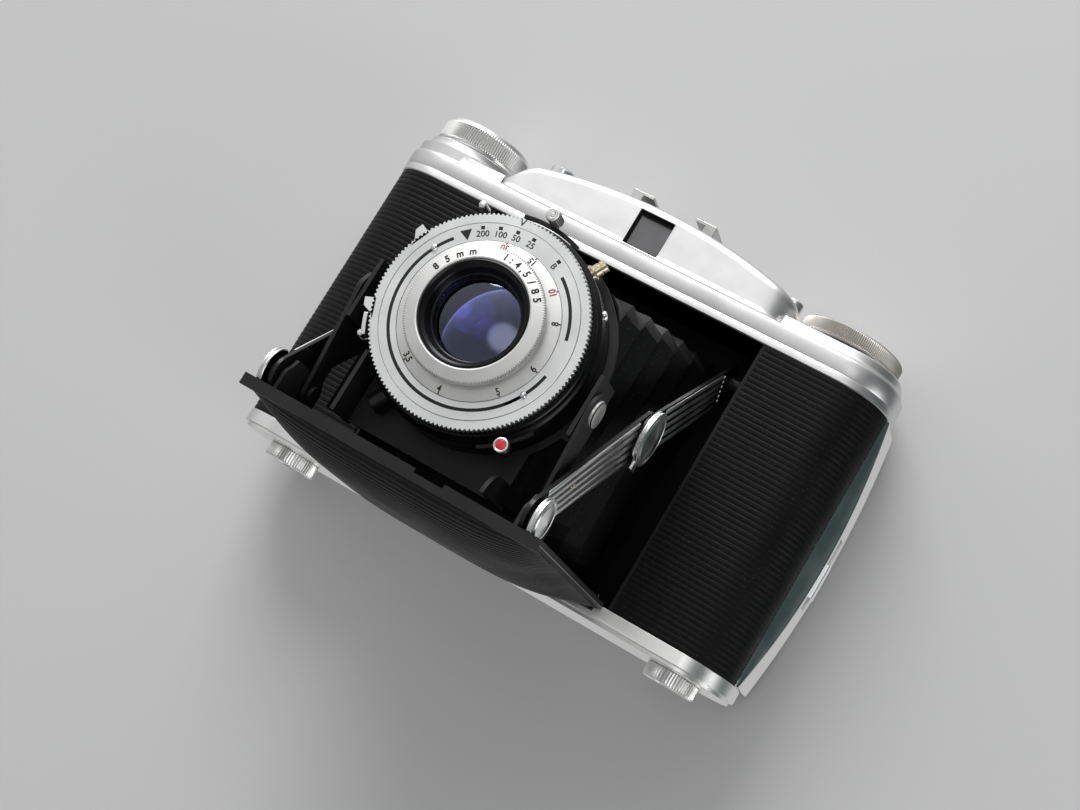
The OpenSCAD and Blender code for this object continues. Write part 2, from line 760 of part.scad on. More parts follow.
body_shell();
skin_right();
skin_left();
end_plate_right();
end_plate_left();
film_gate();
film_roller_right();
film_roller_left();
top_cover();
bottom_plate();
tripod_bush();
finder_window();
finder_eyepiece();
accessory_shoe();
wind_knob();
takeup_spool();
feed_spool();
reminder_dial();
dial_plate();
release_button();
bed_button();
spool_knob_right();
spool_knob_left();
back_door();
door_skin();
door_strip();
door_hinge();
pressure_plate();
pressure_spring();
film_window();
window_cover();
door_latch();
bed();
bed_skin();
bed_hinge_pin();
ear_right();
ear_left();
front_strut_right();
front_strut_left();
rear_strut_right();
rear_strut_left();
strut_anchors();
arm_right();
arm_left();
lens_board();
bellows();
shutter_housing();
speed_ring();
face_plate();
distance_ring();
front_ring();
front_glass();
rear_cell();
iris_blades();
cocking_lever();
timer_lever();
aperture_lever();
release_lever();
sync_post();
cable_socket();
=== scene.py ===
import json
import math
import random

import bmesh
import bpy
from mathutils import Matrix, Vector

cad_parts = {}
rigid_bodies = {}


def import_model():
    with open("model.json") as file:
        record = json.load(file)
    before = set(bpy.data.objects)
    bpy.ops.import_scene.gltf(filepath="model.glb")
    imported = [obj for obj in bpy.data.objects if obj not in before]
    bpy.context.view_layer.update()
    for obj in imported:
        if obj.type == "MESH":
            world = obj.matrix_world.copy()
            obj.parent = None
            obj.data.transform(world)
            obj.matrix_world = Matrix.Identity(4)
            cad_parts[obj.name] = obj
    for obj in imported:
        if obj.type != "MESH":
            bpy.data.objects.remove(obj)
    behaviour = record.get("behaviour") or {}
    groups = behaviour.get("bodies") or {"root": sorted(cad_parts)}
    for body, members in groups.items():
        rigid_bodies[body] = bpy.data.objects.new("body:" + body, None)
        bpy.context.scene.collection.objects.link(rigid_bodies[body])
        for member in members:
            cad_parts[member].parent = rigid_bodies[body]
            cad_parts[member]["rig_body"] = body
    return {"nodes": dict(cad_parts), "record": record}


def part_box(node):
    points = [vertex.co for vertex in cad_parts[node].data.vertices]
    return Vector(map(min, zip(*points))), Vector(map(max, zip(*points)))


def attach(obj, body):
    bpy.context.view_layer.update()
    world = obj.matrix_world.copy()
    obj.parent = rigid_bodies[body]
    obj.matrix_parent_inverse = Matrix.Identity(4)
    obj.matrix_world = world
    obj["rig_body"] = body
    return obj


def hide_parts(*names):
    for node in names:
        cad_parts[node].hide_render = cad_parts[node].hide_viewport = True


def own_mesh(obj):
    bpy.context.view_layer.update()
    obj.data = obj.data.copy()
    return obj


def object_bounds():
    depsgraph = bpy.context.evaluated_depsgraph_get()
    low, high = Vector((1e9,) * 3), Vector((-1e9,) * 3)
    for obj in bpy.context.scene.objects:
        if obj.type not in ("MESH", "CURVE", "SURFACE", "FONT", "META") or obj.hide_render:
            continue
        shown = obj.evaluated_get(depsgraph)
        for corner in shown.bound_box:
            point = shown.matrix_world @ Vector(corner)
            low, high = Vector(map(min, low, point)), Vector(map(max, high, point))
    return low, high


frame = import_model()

CAD_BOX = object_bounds()
MM = 0.001
TAU = 2 * math.pi
FUSE = 2e-6
FLAT, SHARP = 3, 30


def span(node):
    """A CAD node's two corners, in millimetres."""
    low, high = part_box(node)
    return low / MM, high / MM


# ---- places read from the frame, in millimetres ----
BASE, TOP = span("skin_right")[0].z, span("skin_right")[1].z
HALF_W = span("skin_right")[1].x
FRONT = span("skin_right")[0].y
BACK = span("door_skin")[1].y
RIM = span("speed_ring")[0].y
AXIS = (span("face_plate")[0].z + span("face_plate")[1].z) / 2
FACE_R = span("face_plate")[1].x
BED_EDGE = span("bed")[1].x
BED_TIP = span("bed")[0].y
RIM_R = 25.0
SPOOL_X, SPOOL_Y = 59, -0.5
WIND_AT = (-SPOOL_X, SPOOL_Y)
DIAL_AT = (56, 0)
RELEASE_AT = (-36, 0)
BED_BUTTON_AT = (37.5, 0)
MOUTH = span("front_ring")[0].y


# ---- mesh building ----
def piece(name, points, faces, body, slot, material, replaces=(), angle=35, close=True):
    """A mesh from points in millimetres that rides on a body and stands for CAD nodes."""
    mesh = bpy.data.meshes.new(name)
    mesh.from_pydata([Vector(p) * MM for p in points], [], faces)
    obj = bpy.data.objects.new(name, mesh)
    bpy.context.scene.collection.objects.link(obj)
    if close:
        tidy(mesh)
    return dress(obj, body, material, replaces, angle)


def tidy(mesh, merge=1e-7):
    bm = bmesh.new()
    bm.from_mesh(mesh)
    bmesh.ops.remove_doubles(bm, verts=bm.verts, dist=merge)
    bmesh.ops.recalc_face_normals(bm, faces=bm.faces)
    bm.to_mesh(mesh)
    bm.free()


def dress(obj, body, material, replaces=(), angle=35):
    obj.data.materials.clear()
    obj.data.materials.append(material)
    smooth(obj.data, angle)
    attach(obj, body)
    if replaces:
        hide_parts(*replaces)
    return obj


def smooth(mesh, angle):
    mesh.polygons.foreach_set("use_smooth", [True] * len(mesh.polygons))
    mesh.set_sharp_from_angle(angle=math.radians(angle))


def merged(name, shapes, body, slot, material, replaces=(), angle=35):
    """Several (points, faces) shapes as one piece."""
    points, faces = [], []
    for pts, fcs in shapes:
        start = len(points)
        points += pts
        faces += [[start + i for i in f] for f in fcs]
    return piece(name, points, faces, body, slot, material, replaces, angle)


def from_cad(node, width, material, segments=2, name=None):
    """A finer copy of a CAD node: flat faces joined up and edges rounded."""
    source = frame["nodes"][node]
    mesh = source.data.copy()
    name = name or node + "_shell"
    bm = bmesh.new()
    bm.from_mesh(mesh)
    bmesh.ops.remove_doubles(bm, verts=bm.verts, dist=FUSE)
    bmesh.ops.dissolve_limit(bm, angle_limit=math.radians(FLAT), verts=bm.verts, edges=bm.edges)
    bm.to_mesh(mesh)
    bm.free()
    obj = bpy.data.objects.new(name, mesh)
    bpy.context.scene.collection.objects.link(obj)
    dress(obj, source["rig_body"], material, (node,), SHARP)
    return bevelled(obj, width, segments)


def slot_of(node):
    rows = frame["record"]["subparts"]
    return next(r["material_slot"] for r in rows if r["node"] == node)


def grid_faces(rows, cols, wrap_rows=False, wrap_cols=False):
    faces = []
    for i in range(rows if wrap_rows else rows - 1):
        for j in range(cols if wrap_cols else cols - 1):
            a, b = i * cols + j, i * cols + (j + 1) % cols
            c, d = ((i + 1) % rows) * cols + (j + 1) % cols, ((i + 1) % rows) * cols + j
            faces.append([a, b, c, d])
    return faces


def tube_faces(rows, cols):
    """Faces of a bar made of rows of closed sections, with both ends shut."""
    last = (rows - 1) * cols
    return grid_faces(rows, cols, wrap_cols=True) + [list(range(cols)),
                                                     list(range(last, last + cols))]


def closed_prism(n):
    return [list(range(n)), list(range(n, 2 * n))] + [
        [j, (j + 1) % n, n + (j + 1) % n, n + j] for j in range(n)]


def fold_cap(base, count):
    """Quads that shut a loop of points by joining its two halves across."""
    return [[base + k, base + k + 1, base + count - 2 - k, base + count - 1 - k]
            for k in range(count // 2 - 1)]


def bridge(edge, offset):
    """Quads from a closed loop of points to its twin, offset further on in the list."""
    return [[a, b, offset + b, offset + a] for a, b in zip(edge, edge[1:] + edge[:1])]


def on_lens(radius, angle, out):
    """A point round the lens axis: angle anticlockwise from +X as seen from the front,
    out ahead of the rim's plane."""
    return (radius * math.cos(angle), RIM - out, AXIS + radius * math.sin(angle))


def on_z(centre, radius, angle, up):
    return (centre[0] + radius * math.cos(angle), centre[1] + radius * math.sin(angle), up)


def lathe(profile, steps, place=on_lens, shape=None):
    """A closed outline of (radius, along) turned round an axis; shape changes a radius."""
    points = []
    for i in range(steps):
        a = TAU * i / steps
        for k, (r, along) in enumerate(profile):
            points.append(place(r + (shape(k, i) if shape else 0.0), a, along))
    return points, grid_faces(steps, len(profile), wrap_rows=True, wrap_cols=True)


def turned(profile, steps, place=on_lens):
    """A closed solid from an open outline that starts and ends on the axis."""
    points = [place(0.0, 0.0, profile[0][1])]
    inner = profile[1:-1]
    for i in range(steps):
        points += [place(r, TAU * i / steps, along) for r, along in inner]
    points.append(place(0.0, 0.0, profile[-1][1]))
    n, last = len(inner), len(points) - 1
    faces = []
    for i in range(steps):
        a, b = 1 + i * n, 1 + ((i + 1) % steps) * n
        faces.append([0, a, b])
        faces.append([last, b + n - 1, a + n - 1])
        faces += [[a + j, a + j + 1, b + j + 1, b + j] for j in range(n - 1)]
    return points, faces


def spun(name, profile, steps, place, body, slot, material, replaces=(), angle=30, shape=None):
    """One turned piece: solid when its outline starts on the axis, otherwise a ring."""
    solid = profile[0][0] == 0
    made = turned(profile, steps, place) if solid else lathe(profile, steps, place, shape)
    return merged(name, [made], body, slot, material, replaces, angle)


def about_z(x, y):
    return lambda r, a, up: on_z((x, y), r, a, up)


def about_x(y, z):
    """Turned parts whose axis lies along +X: along is the x coordinate."""
    return lambda r, a, x: (x, y + r * math.cos(a), z + r * math.sin(a))


def box_shape(low, high):
    pts = [(x, y, z) for x in (low[0], high[0]) for y in (low[1], high[1])
           for z in (low[2], high[2])]
    return pts, [[0, 1, 3, 2], [4, 6, 7, 5], [0, 4, 5, 1], [2, 3, 7, 6], [0, 2, 6, 4],
                 [1, 5, 7, 3]]


def sorted_box(a, b):
    low = tuple(min(p, q) for p, q in zip(a, b))
    return low, tuple(max(p, q) for p, q in zip(a, b))


def bevelled(obj, width, segments=2):
    edge = obj.modifiers.new("edges", "BEVEL")
    edge.width = width * MM
    edge.segments = segments
    edge.limit_method = "ANGLE"
    edge.angle_limit = math.radians(SHARP)
    edge.harden_normals = True
    return obj


# ---- materials ----
def nodes_for(name):
    mat = bpy.data.materials.new(name)
    mat.use_nodes = True
    tree = mat.node_tree
    return mat, tree, tree.nodes["Principled BSDF"]


def add_node(tree, kind, values=None, links=None):
    """A shader node with its inputs set to values or linked to other nodes' outputs."""
    node = tree.nodes.new("ShaderNode" + kind)
    for key, value in (values or {}).items():
        node.inputs[key].default_value = value
    for key, socket in (links or {}).items():
        tree.links.new(socket, node.inputs[key])
    return node


def noise(tree, scale, detail=4.0):
    """Noise on the object's own coordinates, scale in bumps a metre."""
    coords = add_node(tree, "TexCoord")
    tex = add_node(tree, "TexNoise", {"Scale": scale, "Detail": detail, "Roughness": 0.55},
                   {"Vector": coords.outputs["Object"]})
    return tex.outputs["Fac"]


def remap(tree, value, low, high, start=0.3, end=0.7):
    node = add_node(tree, "MapRange", {"From Min": start, "From Max": end, "To Min": low,
                                       "To Max": high}, {"Value": value})
    return node.outputs["Result"]


def mix_color(tree, factor, first, second):
    node = tree.nodes.new("ShaderNodeMix")
    node.data_type = "RGBA"
    tree.links.new(factor, node.inputs["Factor"])
    for socket, value in ((node.inputs["A"], first), (node.inputs["B"], second)):
        if isinstance(value, bpy.types.NodeSocket):
            tree.links.new(value, socket)
        else:
            socket.default_value = (*value, 1.0)
    return node.outputs["Result"]


def add_bump(tree, shader, height, strength, distance):
    bump = add_node(tree, "Bump", {"Strength": strength, "Distance": distance * MM},
                    {"Height": height})
    tree.links.new(bump.outputs["Normal"], shader.inputs["Normal"])


def shade(tone, k):
    return tuple(min(1.0, c * k) for c in tone)


def metal(name, tone, rough, vary=0.08, grain=2500, bump=0.15, anis=0.0):
    """Bare metal: fine tool marks, faint smears and a slightly uneven tone."""
    mat, tree, shader = nodes_for(name)
    smear = noise(tree, 90, 5)
    fine = noise(tree, grain, 3)
    shader.inputs["Metallic"].default_value = 1.0
    color = mix_color(tree, remap(tree, smear, 0, 1), shade(tone, 0.93), shade(tone, 1.04))
    tree.links.new(color, shader.inputs["Base Color"])
    tree.links.new(remap(tree, smear, rough - vary, rough + vary), shader.inputs["Roughness"])
    if anis:
        turning = add_node(tree, "Tangent")
        turning.direction_type, turning.axis = "RADIAL", "X"
        shader.inputs["Anisotropic"].default_value = anis
        tree.links.new(turning.outputs["Tangent"], shader.inputs["Tangent"])
    add_bump(tree, shader, fine, bump, 0.02)
    return mat


def paint(name, tone, rough, grain=1800, bump=0.3, coat=0.0, dust=0.0, shine=0.3):
    """Enamel, leathercloth or plastic: grain, uneven gloss and a little pale dust."""
    mat, tree, shader = nodes_for(name)
    cloud = noise(tree, 70, 6)
    fine = noise(tree, grain, 4)
    color = mix_color(tree, remap(tree, cloud, 0, 1), shade(tone, 0.8), shade(tone, 1.25))
    if dust:
        specks = remap(tree, noise(tree, 2200, 2), 0, dust, 0.66, 0.72)
        color = mix_color(tree, specks, color, (0.35, 0.34, 0.32))
    tree.links.new(color, shader.inputs["Base Color"])
    tree.links.new(remap(tree, cloud, rough - 0.07, rough + 0.09), shader.inputs["Roughness"])
    shader.inputs["Specular IOR Level"].default_value = shine
    shader.inputs["Coat Weight"].default_value = coat
    shader.inputs["Coat Roughness"].default_value = 0.12
    add_bump(tree, shader, fine, bump, 0.03)
    return mat


SATIN = metal("satin_chrome", (0.90, 0.90, 0.89), 0.34, 0.06, grain=5000, bump=0.25)
FACE = metal("satin_face", (0.86, 0.87, 0.87), 0.40, 0.05, grain=7000, bump=0.35)
RING = metal("satin_ring", (0.78, 0.78, 0.77), 0.54, 0.04, grain=7000, bump=0.35)
CHROME = metal("polished_chrome", (0.86, 0.87, 0.89), 0.10, 0.05, grain=900, bump=0.05)
BAND = metal("polished_band", (0.80, 0.83, 0.83), 0.16, 0.06, grain=700, bump=0.06)
RIVET = metal("textured_rivet", (0.80, 0.80, 0.78), 0.30, 0.1, grain=1500, bump=1.0)
DIAL = metal("aged_alloy", (0.62, 0.60, 0.56), 0.42, 0.08, grain=2600, bump=0.4)
BRASS = metal("plated_brass", (0.74, 0.66, 0.47), 0.30, 0.08, grain=1500, bump=0.2)
# The shoe's chrome is toned darker: a painted reflection, standing for the dark that real chrome
# mirrors there.
SHOE = metal("shoe_chrome_painted_reflection", (0.60, 0.60, 0.59), 0.36, 0.1, grain=3000, bump=0.3)
SPRING = metal("blued_steel", (0.30, 0.32, 0.36), 0.25, 0.05)
BRACKET = paint("rough_enamel", (0.028, 0.028, 0.0285), 0.55, 1500, 0.6, shine=0.25)
BLACK = paint("black_enamel", (0.007, 0.007, 0.0075), 0.34, 900, 0.12, coat=0.1)
MATT = paint("matt_black", (0.004, 0.004, 0.004), 0.75, 2600, 0.5, shine=0.15)
LEATHER = paint("ribbed_leathercloth", (0.0036, 0.0036, 0.0038), 0.52, 3200, 0.55, dust=0.1,
                shine=0.17)
BED_LEATHER = paint("bed_leathercloth", (0.0085, 0.0085, 0.009), 0.50, 3200, 0.55, dust=0.1,
                    shine=0.25)
CLOTH = paint("bellows_cloth", (0.0075, 0.0075, 0.008), 0.58, 2600, 0.5, dust=0.2,
              shine=0.22)
PLASTIC = paint("spool_plastic", (0.03, 0.03, 0.03), 0.4)
INK = paint("black_fill", (0.018, 0.018, 0.02), 0.55)
RED_INK = paint("red_fill", (0.45, 0.03, 0.025), 0.5)
GLOSS_BLACK = paint("barrel_black", (0.0035, 0.0035, 0.004), 0.26, 900, 0.1, coat=0.08)
COVER = metal("top_cover_satin", (0.74, 0.74, 0.74), 0.40, 0.03, grain=5200, bump=0.22)
PANE = paint("finder_pane", (0.16, 0.16, 0.165), 0.12, 260, 0.05, coat=0.6)
DISC = metal("turned_disc", (0.90, 0.90, 0.90), 0.28, 0.05, grain=1500, bump=0.1, anis=0.7)
EDGE = metal("worn_edge", (0.40, 0.39, 0.37), 0.38, 0.1)
LIP = paint("bed_enamel", (0.016, 0.016, 0.0165), 0.42, 1400, 0.3)
RED_DOT = paint("red_enamel", (0.62, 0.03, 0.035), 0.22, 300, 0.05, coat=0.5)
RED_GLASS = paint("red_window", (0.30, 0.01, 0.008), 0.12, 200, 0.02, coat=0.8)


# ---- camera, stage and light ----
EYE = Vector((0.1501, -0.4533, -0.0249))
AIM = Vector((-0.0075, 0.0, 0.0431))
ROLL = math.radians(31.21)
LENS_MM = 61.9


def make_camera():
    data = bpy.data.cameras.new("camera")
    data.lens = LENS_MM
    data.sensor_width = 36.0
    data.clip_start = 0.01
    obj = bpy.data.objects.new("camera", data)
    bpy.context.scene.collection.objects.link(obj)
    turn = (AIM - EYE).to_track_quat("-Z", "Y")
    obj.rotation_mode = "QUATERNION"
    obj.rotation_quaternion = turn @ Matrix.Rotation(ROLL, 3, "Z").to_quaternion()
    obj.location = EYE
    bpy.context.scene.camera = obj


def make_stage():
    """The pale table that the camera lies on, on its back."""
    size, y = 6.0, CAD_BOX[1].y + 0.0006
    mesh = bpy.data.meshes.new("table")
    corners = [(-size, y, -size), (size, y, -size), (size, y, size), (-size, y, size)]
    mesh.from_pydata(corners, [], [[0, 1, 2, 3]])
    table = bpy.data.objects.new("table", mesh)
    bpy.context.scene.collection.objects.link(table)
    mat, tree, shader = nodes_for("pale_table")
    shader.inputs["Base Color"].default_value = (0.66, 0.66, 0.66, 1)
    shader.inputs["Roughness"].default_value = 0.8
    side = add_node(tree, "NewGeometry")
    clear = add_node(tree, "BsdfTransparent")
    both = add_node(tree, "MixShader", links={"Fac": side.outputs["Backfacing"],
                                              1: shader.outputs["BSDF"], 2: clear.outputs["BSDF"]})
    tree.links.new(both.outputs["Shader"], tree.nodes["Material Output"].inputs["Surface"])
    mesh.materials.append(mat)
    for way in ("visible_diffuse", "visible_glossy", "visible_transmission", "visible_shadow"):
        setattr(table, way, False)


def area_light(name, place, aim, size, power, tone=(1, 1, 1)):
    data = bpy.data.lights.new(name, "AREA")
    data.shape = "DISK"
    data.size = size
    data.energy = power
    data.color = tone
    obj = bpy.data.objects.new(name, data)
    bpy.context.scene.collection.objects.link(obj)
    obj.location = place
    obj.rotation_mode = "QUATERNION"
    obj.rotation_quaternion = (Vector(aim) - Vector(place)).to_track_quat("-Z", "Y")


def near_direction(tree, direction, start, end):
    """One near a direction of the room, falling to zero; start and end are cosines."""
    coords = add_node(tree, "TexCoord")
    dot = tree.nodes.new("ShaderNodeVectorMath")
    dot.operation = "DOT_PRODUCT"
    tree.links.new(coords.outputs["Generated"], dot.inputs[0])
    dot.inputs[1].default_value = Vector(direction).normalized()
    node = add_node(tree, "MapRange", {"From Min": start, "From Max": end},
                    {"Value": dot.outputs["Value"]})
    node.interpolation_type = "SMOOTHSTEP"
    return node.outputs["Result"]


WALL = (0.34, 0.34, 0.34)
SKY = (  # direction, cosines where the patch starts and is full, tone
    ((-0.38, -0.92, 0.12), -0.2, 0.97, (0.52, 0.52, 0.52)),    # ceiling over the lens
    ((-0.55, -0.25, 0.8), 0.25, 0.95, (1.15, 1.15, 1.16)),     # window, up on the left
    ((0.95, -0.25, -0.15), 0.35, 0.9, (0.13, 0.135, 0.14)),    # dim side of the room
    ((0.13, -0.98, 0.09), 0.965, 0.992, (2.4, 2.4, 2.4)),      # lamp that the lens shows
    ((0, 1, 0), 0.45, 0.8, (0.78, 0.78, 0.78)),                # table
    # The dark green patch is painted shade: it stands for the shaded table beside the body's right
    # end, which the end strip reflects.
    ((0.93, 0.18, 0.15), 0.80, 0.93, (0.06, 0.088, 0.085)))    # green patch for the end strip


def make_world():
    """A pale room, brighter up to the left and dark to the right."""
    world = bpy.data.worlds.new("room")
    bpy.context.scene.world = world
    bpy.context.scene.view_settings.view_transform = "Standard"
    world.use_nodes = True
    tree = world.node_tree
    color = WALL
    for direction, start, end, tone in SKY:
        color = mix_color(tree, near_direction(tree, direction, start, end), color, tone)
    tree.links.new(color, tree.nodes["Background"].inputs["Color"])
    tree.nodes["Background"].inputs["Strength"].default_value = 0.72


# ---- lens face ----
def toothed(count, depth, rows, sharp=1.0):
    """Cuts count notches into the outline's points listed in rows."""
    per = 6

    def shape(k, i):
        wave = 0.5 + 0.5 * math.cos(TAU * (i % per) / per)
        return -depth * wave ** sharp if k in rows else 0.0
    return shape, count * per


def speed_ring():
    shape, steps = toothed(150, 0.5, (3, 4, 5, 6), 1.4)
    inner = FACE_R + 0.06
    profile = [(inner, -2.95), (inner, -0.12), (inner + 0.12, 0.0), (RIM_R - 0.12, 0.0),
               (RIM_R, -0.14), (RIM_R, -1.25), (RIM_R - 0.15, -1.45), (24.2, -1.6), (24.2, -2.95)]
    shapes = [lathe(profile, steps, shape=shape)]
    shapes += [rim_lug(math.radians(a)) for a in (152, 197)]
    merged("rim", shapes, "speed_ring", "satin_chrome", FACE, ("speed_ring",), 28)


def rim_lug(angle):
    """A finger tab that grows out of the rim on a slope and drops off square."""
    outline = [(-9.5, 24.2), (-6.0, 24.9), (-2.6, 26.7), (1.6, 26.9), (2.2, 24.2)]
    levels = (-1.5, -0.15, 0.0)
    points = []
    for k, out in enumerate(levels):
        for degrees, r in outline:
            trim = 0.12 if k == 2 and r > 24.5 else 0.0
            points.append(on_lens(r - trim, angle - math.radians(degrees), out))
    return points, tube_faces(len(levels), len(outline))


def face_plate():
    profile = [(18.58, -1.38), (18.58, -0.06), (18.66, 0.0), (FACE_R - 0.1, 0.0),
               (FACE_R, -0.1), (FACE_R, -1.38)]
    spun("face", profile, 256, on_lens, "lens_standard", "satin_chrome", FACE, ("face_plate",),
         28)


def distance_ring():
    profile = [(12.1, -1.3), (12.1, 0.05), (15.2, 0.55), (16.3, 0.55), (18.42, 0.02),
               (18.5, -0.1), (18.5, -1.3)]
    spun("distance_scale", profile, 256, on_lens, "front_cell", "satin_chrome", RING,
         ("distance_ring",), 28)


def front_ring():
    shape, steps = toothed(170, 0.38, (5, 6, 7, 8), 1.0)
    top = RIM - MOUTH
    low = 0.6
    profile = [(12.45, low), (12.45, top - 0.35), (12.62, top - 0.1), (12.9, top - 0.03),
               (15.35, top - 0.62), (15.75, top - 0.72), (15.9, top - 0.95), (15.9, top - 2.0),
               (15.8, top - 2.2), (15.3, top - 2.35), (15.3, low)]
    spun("name_ring", profile, steps, on_lens, "front_cell", "satin_chrome", RING,
         ("front_ring",), 25, shape=shape)


def barrel():
    """The black inside of the mouth: a smooth lip, fine threads, then a cone to the glass."""
    top = RIM - MOUTH
    profile = [(12.4, 0.62), (12.4, top - 0.25), (12.1, top - 0.12), (11.95, top - 0.3)]
    threads = 5
    for i in range(threads):
        out = top - 0.45 - 0.26 * i
        r = 11.85 - 0.13 * i
        profile += [(r, out), (r - 0.16, out - 0.10), (r - 0.02, out - 0.2)]
    profile += [(11.0, top - 2.0), (10.9, top - 2.3), (10.2, top - 3.3), (9.95, top - 3.4),
                (9.75, 0.9), (9.75, 0.62)]
    spun("lens_barrel", profile, 192, on_lens, "front_cell", "black_paint", GLOSS_BLACK)


def dome(name, radius, rim_out, rise, material, body, slot, replaces=()):
    """A lens surface as a thin closed shell; rise is negative for a hollow one."""
    rows, steps, thick = 14, 96, 0.25
    ball = (radius * radius + rise * rise) / (2 * abs(rise))
    sign = 1 if rise > 0 else -1

    def height(r):
        return rim_out + sign * (math.sqrt(ball * ball - r * r) - (ball - abs(rise)))
    outline = [(radius * i / rows, height(radius * i / rows)) for i in range(rows + 1)]
    back = [(r, out - thick) for r, out in reversed(outline)]
    points, faces = turned(outline + back, steps)
    return piece(name, points, faces, body, slot, material, replaces, 50)


def glass_material(name, tint, through, ior=1.9):
    """Coated glass as a mirror film over a clear or dark layer."""
    mat, tree, shader = nodes_for(name)
    tree.nodes.remove(shader)
    gloss = add_node(tree, "BsdfGlossy", {"Color": (*tint, 1), "Roughness": 0.02})
    clear = add_node(tree, "BsdfTransparent", {"Color": (*through, 1)})
    film = add_node(tree, "Fresnel", {"IOR": ior})
    both = add_node(tree, "MixShader", links={"Fac": film.outputs["Fac"],
                                              1: clear.outputs["BSDF"], 2: gloss.outputs["BSDF"]})
    tree.links.new(both.outputs["Shader"], tree.nodes["Material Output"].inputs["Surface"])
    return mat


def lens_glass():
    front = glass_material("coated_front", (0.75, 0.80, 1.0), (0.72, 0.74, 0.95))
    middle = glass_material("coated_middle", (0.45, 0.50, 1.0), (0.75, 0.75, 0.95), ior=2.4)
    rear = glass_material("coated_rear", (0.55, 0.35, 0.9), (0.8, 0.75, 0.9), ior=2.4)
    dome("front_element", 9.74, 1.0, 1.6, front, "front_cell", "glass", ("front_glass",))
    dome("middle_element", 9.3, 0.2, -2.2, middle, "front_cell", "glass")
    dome("inner_element", 8.2, -3.4, 1.8, rear, "lens_standard", "glass")
    tube = [(11.3, -1.5), (11.3, -7.4), (7.4, -7.4), (7.4, -7.0), (8.5, -6.6), (8.5, -4.2),
            (9.6, -3.9), (9.6, -1.5)]
    spun("lens_tube", tube, 128, on_lens, "lens_standard", "black_paint", GLOSS_BLACK)


def iris():
    """Ten overlapping leaves round a small opening."""
    shapes = []
    count, out = 10, -7.9
    for k in range(count):
        a0 = TAU * k / count
        outline = []
        for t in range(9):
            a = a0 + math.radians(8 * t)
            outline.append((3.2 + 1.15 * t, a))
        outline += [(11.3, a0 + math.radians(80 - 12 * t)) for t in range(6)]
        pts = [on_lens(r, a, out - 0.05 * (k % 2)) for r, a in outline]
        pts += [on_lens(r, a, out - 0.04 - 0.05 * (k % 2)) for r, a in outline]
        shapes.append((pts, closed_prism(len(outline))))
    merged("iris_leaves", shapes, "lens_standard", "blued_steel", SPRING, ("iris_blades",), 20)


def arc_mark(angle0, angle1, r0, r1, out, thick=0.03, steps=0):
    """A flat arc round the lens axis, from angle0 to angle1 in degrees."""
    steps = steps or max(1, int(abs(angle1 - angle0) / 3))
    points = []
    for i in range(steps + 1):
        a = math.radians(angle0 + (angle1 - angle0) * i / steps)
        points += [on_lens(r0, a, out), on_lens(r1, a, out), on_lens(r1, a, out + thick),
                   on_lens(r0, a, out + thick)]
    return points, tube_faces(steps + 1, 4)


def lettering(text, radius, angle, height, out, body, ink, inward=False, name=None, tilt=0.0,
              wide=1.0, bold=0.022):
    """Numbers engraved and filled on the lens face, at an angle in degrees."""
    curve = bpy.data.curves.new("text", "FONT")
    curve.body = text
    curve.align_x, curve.align_y = "CENTER", "CENTER"
    curve.size = height * MM * 1.38
    curve.extrude = 0.02 * MM
    curve.offset = height * MM * bold
    holder = bpy.data.objects.new("text", curve)
    bpy.context.scene.collection.objects.link(holder)
    depsgraph = bpy.context.evaluated_depsgraph_get()
    mesh = bpy.data.meshes.new_from_object(holder.evaluated_get(depsgraph))
    bpy.data.objects.remove(holder)
    a = math.radians(angle)
    radial = Vector((math.cos(a), 0, math.sin(a)))
    up = radial * (-1 if inward else 1)
    face = (Vector((0, -1, 0)) + radial * math.tan(math.radians(tilt))).normalized()
    across = up.cross(face).normalized()
    up = face.cross(across).normalized()
    place = Vector(on_lens(radius, a, out)) * MM
    frame_of = Matrix((across * wide, up, face)).transposed().to_4x4()
    mesh.transform(Matrix.Translation(place) @ frame_of)
    obj = bpy.data.objects.new(name or f"mark_{text}_{int(angle) % 360}", mesh)
    bpy.context.scene.collection.objects.link(obj)
    tidy(mesh, 1e-8)
    return dress(obj, body, ink, (), 20)


